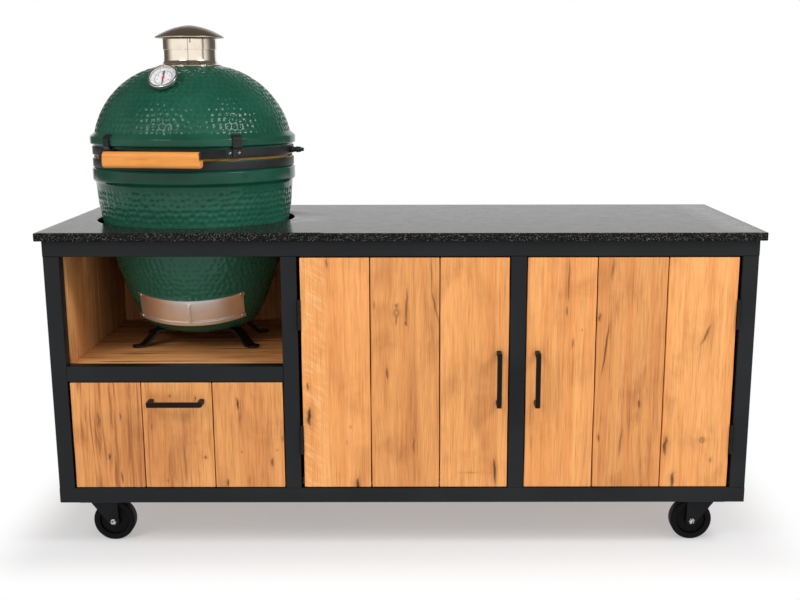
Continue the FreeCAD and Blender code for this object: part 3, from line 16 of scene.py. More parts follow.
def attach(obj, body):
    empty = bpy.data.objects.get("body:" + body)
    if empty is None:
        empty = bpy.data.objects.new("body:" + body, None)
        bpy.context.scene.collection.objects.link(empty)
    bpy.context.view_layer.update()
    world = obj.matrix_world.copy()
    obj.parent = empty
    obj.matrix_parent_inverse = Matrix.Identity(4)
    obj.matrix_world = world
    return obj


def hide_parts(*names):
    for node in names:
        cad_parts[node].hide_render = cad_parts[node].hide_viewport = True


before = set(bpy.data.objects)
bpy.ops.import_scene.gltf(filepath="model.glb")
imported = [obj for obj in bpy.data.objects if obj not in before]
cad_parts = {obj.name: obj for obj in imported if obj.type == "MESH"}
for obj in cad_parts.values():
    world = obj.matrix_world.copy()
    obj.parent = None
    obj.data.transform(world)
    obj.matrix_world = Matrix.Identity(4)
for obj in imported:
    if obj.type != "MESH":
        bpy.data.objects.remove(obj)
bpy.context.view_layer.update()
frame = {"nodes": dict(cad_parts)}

log = logging.getLogger("outdoor_kitchen")

MILLIMETRE = 0.001
FULL_TURN = 2.0 * math.pi
QUARTER_TURN = 0.5 * math.pi
# The angle in degrees from which an edge of metal, stone or glass is drawn sharp.
CRISP = 30.0
WHITE = (1.0, 1.0, 1.0)

Colour = tuple[float, float, float]
Point = tuple[float, float, float]
Pair = tuple[float, float]
Array = np.ndarray
Fields = dict[str, Array]


class Axis(Enum):
    """The three directions of the row frame."""

    X = 0
    Y = 1
    Z = 2


class Slot(Enum):
    """The record's material slots, one named by each new piece."""

    GRANITE = "granite"
    BOARD_WOOD = "board_wood"
    PLANK_WOOD = "plank_wood"
    HANDLE_BLACK = "handle_black"
    WHEEL_RUBBER = "wheel_rubber"
    GREEN_GLAZE = "green_glaze"
    BAND_STEEL = "band_steel"
    GRIP_WOOD = "grip_wood"
    STAINLESS = "stainless"
    DIAL_WHITE = "dial_white"
    DIAL_GLASS = "dial_glass"
    NEEDLE_BLACK = "needle_black"


class Grain(Enum):
    """Where a board's grain direction comes from: its own UV map, or an axis of the row frame."""

    OWN = "own"
    ALONG_X = "along_x"
    ALONG_Y = "along_y"


class Mark(Enum):
    """What breaks a board's face."""

    CRACK = "crack"
    KNOT = "knot"
    SCRATCH = "scratch"
    SHADE = "shade"


def tone(red: float, green: float, blue: float) -> Colour:
    """A display colour of 0 to 255 a channel as linear light."""
    share = np.array([red, green, blue]) / 255.0
    return tuple(np.where(share <= 0.04045, share / 12.92, ((share + 0.055) / 1.055) ** 2.4).tolist())


def operator(operation: str, reflected: bool = False) -> Callable[..., "Socket"]:
    """An operator of a socket, as one Math node.

    Args:
        operation: The node's operation.
        reflected: Whether the socket comes after the other term, as in a number less a socket.

    Returns:
        The method.
    """

    def method(self: "Socket", *terms: "Socket | float") -> "Socket":
        """The node's value."""
        order = (*terms, self) if reflected else (self, *terms)
        return self.shader.math(operation, *order)

    return method


class Socket:
    """A shader value that takes part in plain arithmetic."""

    __add__, __radd__ = operator("ADD"), operator("ADD", True)
    __sub__, __rsub__ = operator("SUBTRACT"), operator("SUBTRACT", True)
    __mul__, __rmul__ = operator("MULTIPLY"), operator("MULTIPLY", True)
    __truediv__, __pow__, __abs__ = operator("DIVIDE"), operator("POWER"), operator("ABSOLUTE")
    __lt__, __gt__ = operator("LESS_THAN"), operator("GREATER_THAN")
    least, most = operator("MINIMUM"), operator("MAXIMUM")
    fract, sine = operator("FRACT"), operator("SINE")

    def __init__(self, shader: "Shader", plug: bpy.types.NodeSocket) -> None:
        """Keep the output and the shader that it belongs to."""
        self.shader = shader
        self.plug = plug

    def other(self, output: int | str) -> "Socket":
        """Another output of the same node."""
        return Socket(self.shader, self.plug.node.outputs[output])

    def smooth(self, low: float, high: float) -> "Socket":
        """A soft step from nought at low to one at high."""
        settings = {"interpolation_type": "SMOOTHSTEP"}
        return self.shader.node("ShaderNodeMapRange", settings, {0: self, 1: low, 2: high})


class Shader:
    """A node tree that is written as expressions."""

    def __init__(self, owner: bpy.types.Material | bpy.types.World, output: str) -> None:
        """Start an empty tree.

        Args:
            owner: The material or world whose tree it is.
            output: The type of its output node.
        """
        owner.use_nodes = True
        self.tree = owner.node_tree
        self.tree.nodes.clear()
        self.output = output

    def node(
        self,
        kind: str,
        settings: dict[str, object] | None = None,
        inputs: dict[int | str, object] | None = None,
        output: int | str = 0,
    ) -> Socket:
        """Add any node.

        Args:
            kind: The node's type.
            settings: Its own settings, which are set first.
            inputs: The value or the link of each socket that isn't left as it is.
            output: The output that is handed back.

        Returns:
            That output.
        """
        made = self.tree.nodes.new(kind)
        for name, value in (settings or {}).items():
            setattr(made, name, value)
        for key, value in (inputs or {}).items():
            target = made.inputs[key]
            if isinstance(value, Socket):
                self.tree.links.new(value.plug, target)
            elif target.type == "RGBA":
                target.default_value = (*value, 1.0)
            else:
                target.default_value = value
        return Socket(self, made.outputs[output])

    def math(self, operation: str, *terms: Socket | float) -> Socket:
        """One Math node on sockets and numbers."""
        return self.node("ShaderNodeMath", {"operation": operation}, dict(enumerate(terms)))

    def position(self) -> Socket:
        """The point in the row frame."""
        return self.node("ShaderNodeTexCoord", output="Object")

    def plane(self) -> Socket:
        """The piece's own flat coordinates."""
        return self.node("ShaderNodeUVMap", {"uv_map": "plane"})

    def mark(self, name: str) -> Socket:
        """A number that the mesh carries at each point."""
        return self.node("ShaderNodeAttribute", {"attribute_name": name}, output="Fac")

    def split(self, vector: Socket) -> tuple[Socket, Socket, Socket]:
        """The three parts of a vector."""
        first = self.node("ShaderNodeSeparateXYZ", None, {0: vector})
        return first, first.other(1), first.other(2)

    def join(self, x: Socket | float, y: Socket | float, z: Socket | float) -> Socket:
        """A vector of three parts."""
        return self.node("ShaderNodeCombineXYZ", None, {0: x, 1: y, 2: z})

    def stretch(self, vector: Socket, scale: Point) -> Socket:
        """A vector with each part scaled."""
        return self.node("ShaderNodeVectorMath", {"operation": "MULTIPLY"}, {0: vector, 1: scale})

    def noise(self, vector: Socket, scale: float, detail: float = 2.0, bend: float = 0.0) -> Socket:
        """Soft noise of about 0 to 1."""
        inputs = {"Vector": vector, "Scale": scale, "Detail": detail, "Distortion": bend}
        return self.node("ShaderNodeTexNoise", None, inputs)

    def cells(self, vector: Socket, scale: float, output: str = "Distance") -> Socket:
        """Cells round scattered points."""
        return self.node("ShaderNodeTexVoronoi", None, {"Vector": vector, "Scale": scale}, output)

    def mix(self, factor: Socket | float, first: Socket | Colour, second: Socket | Colour) -> Socket:
        """A blend of two colours."""
        return self.node("ShaderNodeMix", {"data_type": "RGBA"}, {0: factor, 6: first, 7: second}, 2)

    def bump(self, height: Socket, depth: float, strength: float = 1.0) -> Socket:
        """A surface direction from a height of 0 to 1 and its depth in metres."""
        inputs = {"Height": height, "Distance": depth, "Strength": strength}
        return self.node("ShaderNodeBump", None, inputs, "Normal")

    def surface(self, inputs: dict[str, object]) -> Socket:
        """The surface shader with the sockets that differ from its defaults."""
        return self.node("ShaderNodeBsdfPrincipled", None, inputs)

    def close(self, last: Socket) -> None:
        """Lead the last shader to the first socket of a new output node."""
        end = self.tree.nodes.new(self.output)
        self.tree.links.new(last.plug, end.inputs[0])


@dataclass(frozen=True)
class Finish:
    """What a piece is made of and how its surface looks."""

    name: str

    @functools.cached_property
    def material(self) -> bpy.types.Material:
        """The finish as a material, made once.

        Returns:
            The material.
        """
        made = bpy.data.materials.new(self.name)
        shader = Shader(made, "ShaderNodeOutputMaterial")
        shader.close(self.shade(shader))
        return made

    def shade(self, shader: Shader) -> Socket:
        """The surface shader of this finish."""
        raise NotImplementedError


@dataclass(frozen=True)
class PowderCoat(Finish):
    """Baked paint with a fine orange peel and faint rubbed patches."""

    colour: Colour
    rubbed: Colour
    roughness: float = 0.5
    peel: float = 0.00012
    gloss: float = 0.26
    patches: float = 4.0

    def coat(self, shader: Shader) -> dict[str, object]:
        """The paint's sockets: cloudy wear in the colour and the gloss, and a fine peel.

        Args:
            shader: The tree that is written.

        Returns:
            What each socket takes.
        """
        place = shader.position()
        cloud = shader.noise(place, self.patches, 5.0)
        fine = shader.noise(place, 520.0, 2.0)
        worn = cloud.smooth(0.42, 0.72)
        return {
            "Base Color": shader.mix(worn * 0.7 + fine * 0.2, self.colour, self.rubbed),
            "Roughness": self.roughness + (cloud - 0.5) * 0.3,
            "Specular IOR Level": self.gloss,
            "Normal": shader.bump(fine, self.peel),
        }

    def shade(self, shader: Shader) -> Socket:
        """The coat alone."""
        return shader.surface(self.coat(shader))


@dataclass(frozen=True)
class CasterPaint(PowderCoat):
    """Black paint on a caster's fork, with bare zinc on the ends of its axle."""

    patches: float = 14.0
    zinc: Colour = (0.5, 0.5, 0.52)
    axle_height: float = 0.054
    axle_reach: float = 0.0253
    head_radius: float = 0.0095
    front_y: float = -0.24
    rear_y: float = 0.27

    def shade(self, shader: Shader) -> Socket:
        """Paint, and metal beyond the fork's cheeks at the height of the axle.

        Args:
            shader: The tree that is written.

        Returns:
            The surface shader.
        """
        place = shader.position()
        _, y, z = shader.split(place)
        aside = abs(y - self.front_y).least(abs(y - self.rear_y))
        head = (aside > self.axle_reach) * (abs(z - self.axle_height) < self.head_radius)
        stained = shader.mix(shader.noise(place, 230.0, 3.0).smooth(0.45, 0.62), self.zinc, self.colour)
        coat = self.coat(shader)
        coat["Base Color"] = shader.mix(head, coat["Base Color"], stained)
        coat["Roughness"] = coat["Roughness"] - head * 0.15
        coat["Metallic"] = head
        return shader.surface(coat)


@dataclass(frozen=True)
class Granite(Finish):
    """Dark speckled stone with a clear polish."""

    ground: Colour
    grey: Colour
    fleck: Colour
    roughness: float = 0.13
    gloss: float = 0.034

    def shade(self, shader: Shader) -> Socket:
        """Crystals as cells of two sizes, a few of them pale, and a fine grain between.

        Args:
            shader: The tree that is written.

        Returns:
            The surface shader.
        """
        place = shader.position()
        coarse = shader.split(shader.cells(place, 330.0, "Color"))[0]
        small = shader.split(shader.cells(place, 640.0, "Color"))[1]
        cloud = shader.noise(place, 30.0, 4.0)
        grey = coarse.smooth(0.5, 0.95) * 0.5 + cloud * 0.3
        pale = small.smooth(0.88, 0.99)
        stone = shader.mix(grey, self.ground, self.grey)
        return shader.surface({
            "Base Color": shader.mix(pale, stone, self.fleck),
            "Roughness": self.roughness + small * 0.06 + (cloud - 0.5) * 0.1,
            "Specular IOR Level": self.gloss,
            "Normal": shader.bump(small, 0.00003, 0.5),
        })


@dataclass(frozen=True)
class Timber(Finish):
    """Oiled boards: soft bands, clouds, grain lines, fibres, pinholes, a curly figure and dark splits."""

    pale: Colour
    body: Colour
    dark: Colour
    split: Colour
    figure: Colour = tone(255, 208, 146)
    grain: Grain = Grain.OWN
    roughness: float = 0.52
    gloss: float = 0.36
    slant: float = 0.7

    def lengths(self, shader: Shader) -> tuple[Socket, Socket]:
        """The grain's own coordinates.

        Args:
            shader: The tree that is written.

        Returns:
            Metres across the grain and metres along it.
        """
        if self.grain is Grain.OWN:
            return shader.split(shader.plane())[:2]
        x, y, z = shader.split(shader.position())
        if self.grain is Grain.ALONG_X:
            return y + z * self.slant, x
        return x + z * self.slant, y

    def shade(self, shader: Shader) -> Socket:
        """Noise stretched along the grain at several widths, under the mesh's figure, splits and knots.

        Args:
            shader: The tree that is written.

        Returns:
            The surface shader.
        """
        across, along = self.lengths(shader)
        place = shader.join(across, along, shader.mark("board") * 9.0)

        def grained(wide: float, long: float, detail: float, bend: float = 0.0) -> Socket:
            """Noise with so many waves to the metre across the grain and along it."""
            return shader.noise(shader.stretch(place, (wide, long, 1.0)), 1.0, detail, bend)

        bands = grained(26.0, 1.1, 3.0, 0.5)
        clouds = grained(11.0, 7.0, 4.0, 0.4)
        lines = grained(170.0, 4.5, 3.0, 0.5)
        fibres = grained(520.0, 16.0, 2.0)
        streaks = grained(70.0, 3.0, 3.0, 0.8).smooth(0.5, 0.74)
        specks = shader.cells(shader.stretch(place, (62.0, 46.0, 1.0)), 1.0).smooth(0.05, 0.02)
        slanted = shader.join(across, along + across * self.slant, shader.mark("board"))
        flame = shader.noise(shader.stretch(slanted, (14.0, 50.0, 9.0)), 1.0, 2.0, 2.4).smooth(0.46, 0.72)
        lit = shader.mix(bands.smooth(0.3, 0.7), self.pale, self.body)
        curled = shader.mix(flame * shader.mark("curl"), lit, self.figure)
        shady = (
            clouds.smooth(0.45, 0.85) * 0.42 + lines.smooth(0.4, 0.8) * 0.24 + fibres.smooth(0.4, 0.8) * 0.3
            + streaks * shader.mark("streak") + shader.mark("tint")
        )
        aged = shader.mix(shady.least(0.92), curled, self.dark)
        crack, knot = shader.mark("crack"), shader.mark("knot")
        shaded = shader.mix(shader.mark("halo") * (0.3 + lines * 0.6), aged, self.dark)
        rings = ((knot * 17.0).sine() * 0.5 + 0.5) * knot.smooth(0.02, 0.3) * 0.6
        opened = (crack * (0.75 + fibres * 0.4) + specks * 0.55 + rings).least(1.0)
        return shader.surface({
            "Base Color": shader.mix(opened, shaded, self.split),
            "Roughness": self.roughness + fibres * 0.12 + crack * 0.25,
            "Specular IOR Level": self.gloss,
            "Normal": shader.bump(fibres * 0.5 + lines * 0.3 - opened * 0.5, 0.0003),
        })


@dataclass(frozen=True)
class Glaze(Finish):
    """Glossy green glaze that runs thin on the ridges between the ceramic's hollows, and raw clay inside."""

    deep: Colour
    thin: Colour
    raw: Colour
    smoked: Colour
    roughness: float = 0.12
    gloss: float = 0.22
    # Painted light: how far the glaze is made paler below the worktop, to lift the shade in the niche.
    lower: float = 0.42

    def shade(self, shader: Shader) -> Socket:
        """Cloudy colour, paler on ridges, made paler down the base as painted light against the niche's
        shade, and smoked clay where the mesh is inside.

        Args:
            shader: The tree that is written.

        Returns:
            The surface shader.
        """
        place = shader.position()
        cloud = shader.noise(place, 6.0, 4.0)
        speck = shader.noise(place, 260.0, 3.0)
        inside = shader.mark("inside")
        clay = shader.mix(cloud.smooth(0.35, 0.7) * 0.8 + speck * 0.2, self.raw, self.smoked)
        ridged = shader.mark("ridge") * 0.14 + cloud.smooth(0.4, 0.75) * 0.3 + speck.smooth(0.6, 0.8) * 0.15
        # Painted light: the height term makes the glaze paler below the worktop, where the niche is in shade;
        # the ridge and cloud terms are the glaze's own thinning.
        thin = ridged + shader.split(place)[2].smooth(0.95, 0.80) * self.lower
        return shader.surface({
            "Base Color": shader.mix(inside, shader.mix(thin, self.deep, self.thin), clay),
            "Roughness": self.roughness + cloud * 0.08 + inside * 0.7,
            "Specular IOR Level": self.gloss,
            "Normal": shader.bump(speck, 0.00003),
        })


@dataclass(frozen=True)
class Bright(Finish):
    """Bare metal with a fine brushed grain along one axis, cloudy polish and a few smears."""

    colour: Colour
    soiled: Colour
    roughness: float = 0.16
    brushing: Point = (30.0, 30.0, 900.0)
    relief: float = 0.00004
    smears: float = 1.0
    metal: float = 1.0

    def shade(self, shader: Shader) -> Socket:
        """Streaks across the brushing in the gloss, and a cloudy tarnish.

        Args:
            shader: The tree that is written.

        Returns:
            The surface shader.
        """
        place = shader.position()
        streak = shader.noise(shader.stretch(place, self.brushing), 1.0, 3.0)
        cloud = shader.noise(place, 16.0, 5.0)
        smear = shader.noise(place, 60.0, 4.0).smooth(0.5, 0.8) * self.smears
        soil = cloud.smooth(0.5, 0.8) * 0.5 + smear * 0.3
        return shader.surface({
            "Base Color": shader.mix(soil, self.colour, self.soiled),
            "Metallic": self.metal,
            "Roughness": self.roughness + streak * 0.1 + smear * 0.08,
            "Normal": shader.bump(streak, self.relief),
        })


@dataclass(frozen=True)
class ChimneySteel(Bright):
    """Polished sheet with a seam down the tube and, on the sleeve, a keyhole slot painted near-black as
    painted shade, not cut.
    """

    seam: float = 0.0
    slot_at: float = 0.0
    slot_low: float = 0.0
    slot_high: float = 0.0
    seam_dark: Colour = (0.02, 0.018, 0.016)
    slot_painted_shade: Colour = (0.004, 0.004, 0.004)

    def shade(self, shader: Shader) -> Socket:
        """Metal as before, with the seam and the slot's painted shade drawn by the angle round the tube and
        the height.

        Args:
            shader: The tree that is written.

        Returns:
            The surface shader.
        """
        place = shader.position()
        round_, _, _ = shader.split(shader.plane())
        height = shader.split(place)[2]
        streak = shader.noise(shader.stretch(place, self.brushing), 1.0, 3.0)
        cloud = shader.noise(place, 16.0, 5.0)
        smear = shader.noise(place, 60.0, 4.0)
        seam = abs(round_ - self.seam).smooth(0.0026, 0.0012)
        # Painted shade: the slot is not cut through the sleeve; a near-black, dull, non-metallic patch stands
        # for the shade seen through it.
        reach = (height - self.slot_low) / (self.slot_high - self.slot_low)
        inside = reach.smooth(-0.04, 0.04)
        wide = 0.0042 - reach.smooth(0.0, 0.55) * 0.0022
        slot = ((abs(round_ - self.slot_at) - wide).smooth(0.0006, -0.0006)) * inside
        soil = cloud.smooth(0.5, 0.8) * 0.5 + smear.smooth(0.6, 0.8) * 0.3
        metal = shader.mix(soil, self.colour, self.soiled)
        lined = shader.mix(seam * 0.7, metal, self.seam_dark)
        return shader.surface({
            "Base Color": shader.mix(slot, lined, self.slot_painted_shade),
            "Metallic": 1.0 - slot,
            "Roughness": self.roughness + streak * 0.06 + smear.smooth(0.5, 0.8) * 0.06 + slot * 0.5,
            "Normal": shader.bump(streak - seam, self.relief),
        })


@dataclass(frozen=True)
class Rough(Finish):
    """A dull material with clouds and a coarse grain: clay, iron, felt, rubber or plastic."""

    colour: Colour
    varied: Colour
    roughness: float = 0.8
    grain: float = 180.0
    depth: float = 0.0004
    metal: float = 0.0
    gloss: float = 0.5

    def shade(self, shader: Shader) -> Socket:
        """Clouds in the colour, grain in the surface.

        Args:
            shader: The tree that is written.

        Returns:
            The surface shader.
        """
        place = shader.position()
        cloud = shader.noise(place, 12.0, 5.0)
        grain = shader.noise(place, self.grain, 4.0)
        return shader.surface({
            "Base Color": shader.mix(cloud * 0.5 + grain.smooth(0.35, 0.75) * 0.5, self.colour, self.varied),
            "Metallic": self.metal,
            "Specular IOR Level": self.gloss,
            "Roughness": self.roughness + (grain - 0.5) * 0.2,
            "Normal": shader.bump(grain, self.depth),
        })


@dataclass(frozen=True)
class DialFace(Finish):
    """White enamel with a grey ring, plain dots outside it and short marks inside it, the low ones red."""

    white: Colour
    grey: Colour
    black: Colour
    red: Colour
    ring_radius: float = 22.8
    dots: float = 9.0
    marks: float = 8.0

    def shade(self, shader: Shader) -> Socket:
        """Rings and marks by the distance from the middle and the angle round it, in millimetres.

        Args:
            shader: The tree that is written.

        Returns:
            The surface shader.
        """
        x, y, _ = shader.split(shader.stretch(shader.plane(), (1000.0, 1000.0, 1.0)))
        reach = (x * x + y * y) ** 0.5
        turn = shader.math("ARCTAN2", y, x) / FULL_TURN + 0.5
        ring = abs(reach - self.ring_radius).smooth(1.5, 0.7) * (1.0 - (x > 4.0) * (y < -12.0))
        dots = self.marked(turn, reach, self.dots, 2.4, 28.4, 30.9)
        inner = self.marked(turn, reach, self.marks, 2.6, 15.2, 18.2)
        scale = self.marked(turn, reach, 54.0, 0.7, 24.6, 26.6)
        low = y.smooth(7.0, 2.0)
        zone = (reach > 8.0) * (reach < 19.0) * (y < -3.0) * (x > 2.0)
        cloud = shader.noise(shader.position(), 60.0, 3.0)
        enamel = shader.mix(cloud * 0.25, self.white, self.grey)
        ringed = shader.mix((ring * 0.9).most(scale * 0.55), enamel, self.grey)
        zoned = shader.mix(zone * 0.16, ringed, self.red)
        ink = shader.mix(low * (x < 12.0).most(reach < 20.0), self.black, self.red)
        return shader.surface({
            "Base Color": shader.mix(dots.most(inner), zoned, ink),
            "Roughness": 0.4 + cloud * 0.2,
        })

    @staticmethod
    def marked(turn: Socket, reach: Socket, count: float, width: float, low: float, high: float) -> Socket:
        """Evenly spaced marks of one width in millimetres, between two distances from the middle."""
        aside = abs((turn * count).fract() - 0.5) * reach * (FULL_TURN / count)
        return (aside < width / 2.0) * (reach > low) * (reach < high)


@dataclass(frozen=True)
class ClearGlass(Finish):
    """A thin clear pane: nearly all see-through, with a gloss and a little haze."""

    haze: Colour
    cover: float = 0.02

    def shade(self, shader: Shader) -> Socket:
        """Cover with a faint cloud of dust in it.

        Args:
            shader: The tree that is written.

        Returns:
            The surface shader.
        """
        cloud = shader.noise(shader.position(), 45.0, 4.0)
        return shader.surface({
            "Base Color": self.haze,
            "Roughness": 0.04 + cloud * 0.05,
            "Alpha": self.cover + cloud.smooth(0.45, 0.9) * 0.04,
        })


@dataclass(frozen=True)
class NeedlePaint(Finish):
    """Black lacquer on the hand, red on its hub."""

    black: Colour
    red: Colour
    rubbed: Colour = (0.05, 0.05, 0.05)

    def shade(self, shader: Shader) -> Socket:
        """The mesh says where the hub is.

        Args:
            shader: The tree that is written.

        Returns:
            The surface shader.
        """
        cloud = shader.noise(shader.position(), 400.0, 3.0)
        worn = shader.mix(cloud * 0.3, self.black, self.rubbed)
        return shader.surface({
            "Base Color": shader.mix(shader.mark("hub"), worn, self.red),
            "Roughness": 0.4 + cloud * 0.15,
        })


class Finishes:
    """Every finish of the kitchen."""

    frame = PowderCoat("frame_paint", tone(22, 24, 26), tone(32, 34, 36), 0.46, gloss=0.18)
    handle = PowderCoat("handle_paint", tone(16, 17, 18), tone(26, 27, 28), 0.45, gloss=0.1)
    hinge = PowderCoat("hinge_paint", tone(20, 20, 21), tone(40, 39, 38), 0.42, gloss=0.15)
    band = PowderCoat("band_paint", tone(24, 25, 27), tone(46, 47, 49), 0.4, gloss=0.2)
    feet = PowderCoat("feet_paint", tone(9, 9, 10), tone(18, 18, 19), 0.26, gloss=0.5)
    caster = CasterPaint(
        "caster_paint", tone(14, 15, 16), tone(26, 27, 28), 0.45, gloss=0.15, zinc=tone(206, 204, 200)
    )
    rubber = Rough("wheel_rubber", tone(5, 5, 6), tone(17, 17, 18), 0.5, 320.0, 0.00015, gloss=0.1)
    catch = Rough("catch_plastic", tone(28, 28, 29), tone(44, 44, 45), 0.5, 500.0, 0.0001)
    zinc = Bright("zinc_plate", tone(190, 189, 184), tone(150, 147, 138), 0.28, (200.0, 200.0, 200.0))
    runner = Bright("runner_zinc", tone(196, 196, 192), tone(160, 158, 150), 0.3, (30.0, 500.0, 500.0))
    stainless = Bright("case_steel", tone(214, 208, 200), tone(176, 166, 154), 0.16, (700.0, 40.0, 40.0))
    draft = Bright(
        "draft_sheet", tone(240, 238, 235), tone(206, 198, 190), 0.26, (8.0, 8.0, 420.0), 0.00001, 0.4, 0.92
    )
    screws = Bright("screw_steel", tone(206, 203, 198), tone(150, 146, 140), 0.22, (300.0, 300.0, 300.0))
    bolts = Bright("bolt_steel", tone(120, 119, 118), tone(64, 62, 60), 0.3, (300.0, 300.0, 300.0))
    grid = Bright("grid_steel", tone(176, 172, 166), tone(96, 86, 76), 0.32, (90.0, 90.0, 90.0))
    flue_sheet = (tone(232, 224, 212), tone(208, 196, 180), 0.12)
    chimney = ChimneySteel("chimney_steel", *flue_sheet, seam=0.5385)
    sleeve = ChimneySteel(
        "sleeve_steel", *flue_sheet, seam=0.5385, slot_at=0.5535, slot_low=1.2835, slot_high=1.2935
    )
    cap = Bright("cap_steel", tone(186, 172, 156), tone(146, 130, 112), 0.24, (24.0, 24.0, 500.0))
    granite = Granite("dark_granite", tone(15, 15, 15), tone(40, 40, 40), tone(116, 113, 108))
    planks = Timber(
        "oiled_planks", tone(252, 181, 108), tone(238, 160, 90), tone(160, 94, 46), tone(44, 33, 25)
    )
    boards = Timber(
        "inner_boards", tone(236, 170, 106), tone(212, 142, 82), tone(116, 72, 42), tone(30, 21, 15)
    )
    plain_wood = (tone(236, 168, 100), tone(212, 138, 76), tone(146, 90, 46), tone(36, 25, 18))
    battens = Timber("batten_wood", *plain_wood, grain=Grain.ALONG_X)
    drawer = Timber("drawer_wood", *plain_wood, grain=Grain.ALONG_Y)
    grip = Timber(
        "grip_wood", tone(236, 158, 74), tone(226, 144, 62), tone(184, 100, 36), tone(150, 84, 32),
        tone(255, 184, 100), roughness=0.36,
    )
    glaze = Glaze("green_glaze", tone(20, 70, 54), tone(50, 110, 90), tone(186, 164, 136), tone(112, 96, 82))
    clay = Rough("fire_clay", tone(196, 176, 150), tone(120, 106, 92), 0.9, 90.0, 0.0008)
    iron = Rough("grate_iron", tone(40, 38, 36), tone(66, 58, 50), 0.7, 140.0, 0.0006, 0.6)
    felt = Rough("rim_felt", tone(160, 112, 40), tone(98, 62, 20), 0.95, 420.0, 0.0006)
    dial = DialFace(
        "dial_enamel", tone(236, 236, 239), tone(126, 128, 134), tone(20, 21, 24), tone(220, 48, 42)
    )
    glass = ClearGlass("dial_glass", tone(235, 240, 242))
    needle = NeedlePaint("needle_paint", tone(10, 10, 11), tone(226, 44, 36))


def shift(x: float, y: float, z: float) -> Array:
    """A move as a 4 by 4 matrix."""
    return np.vstack([np.column_stack([np.eye(3), (x, y, z)]), (0.0, 0.0, 0.0, 1.0)])


def spin(axis: Axis, degrees: float) -> Array:
    """A turn about an axis through the origin as a 4 by 4 matrix."""
    return np.array(Matrix.Rotation(math.radians(degrees), 4, axis.name))


def travelled(line: Array) -> Array:
    """How far along a line of points each one lies, from nought at the first."""
    return np.concatenate([[0.0], np.cumsum(np.linalg.norm(np.diff(line, axis=0), axis=1))])


def flat_grid(columns: Array, rows: Array) -> Array:
    """Flat coordinates of a grid, from a number for each column and one for each row."""
    return np.stack(np.broadcast_arrays(columns[None, :], rows[:, None]), axis=-1)


def around(radius: Array, turn: Array, height: Array) -> Array:
    """Points at (radius sin turn, -radius cos turn, height) round the Z axis, from nought at the front."""
    return np.stack(np.broadcast_arrays(radius * np.sin(turn), -radius * np.cos(turn), height), axis=-1)


def looped(points: Array) -> Array:
    """Flat coordinates in metres straight from X and Y, for a grid that joins up both ways."""
    wide = np.concatenate([points, points[:, :1]], axis=1)
    return np.concatenate([wide, wide[:1]], axis=0)[..., :2] * MILLIMETRE


def placed(name: str, data: bpy.types.ID) -> bpy.types.Object:
    """Put a mesh, a lamp or a camera into the scene.

    Args:
        name: The object's name.
        data: What it shows.

    Returns:
        The object, at the origin.
    """
    made = bpy.data.objects.new(name, data)
    bpy.context.scene.collection.objects.link(made)
    return made


def quad_corners(near: Array | int, far: Array | int, left: Array, right: Array, wide: int) -> Array:
    """Corner numbers of the cells between two rows and two columns of a grid so many columns wide."""
    corners = [near * wide + left, near * wide + right, far * wide + right, far * wide + left]
    return np.stack(corners, axis=-1).reshape(-1, 4)


def fans(near: Array, far: Array, end: int, middle: int) -> Array:
    """Triangles from a grid's first row and its last row to the two middles that follow its points."""
    ends = (far, near, middle), (end + near, end + far, middle + 1)
    return np.vstack([np.stack(np.broadcast_arrays(*corners), axis=-1) for corners in ends])


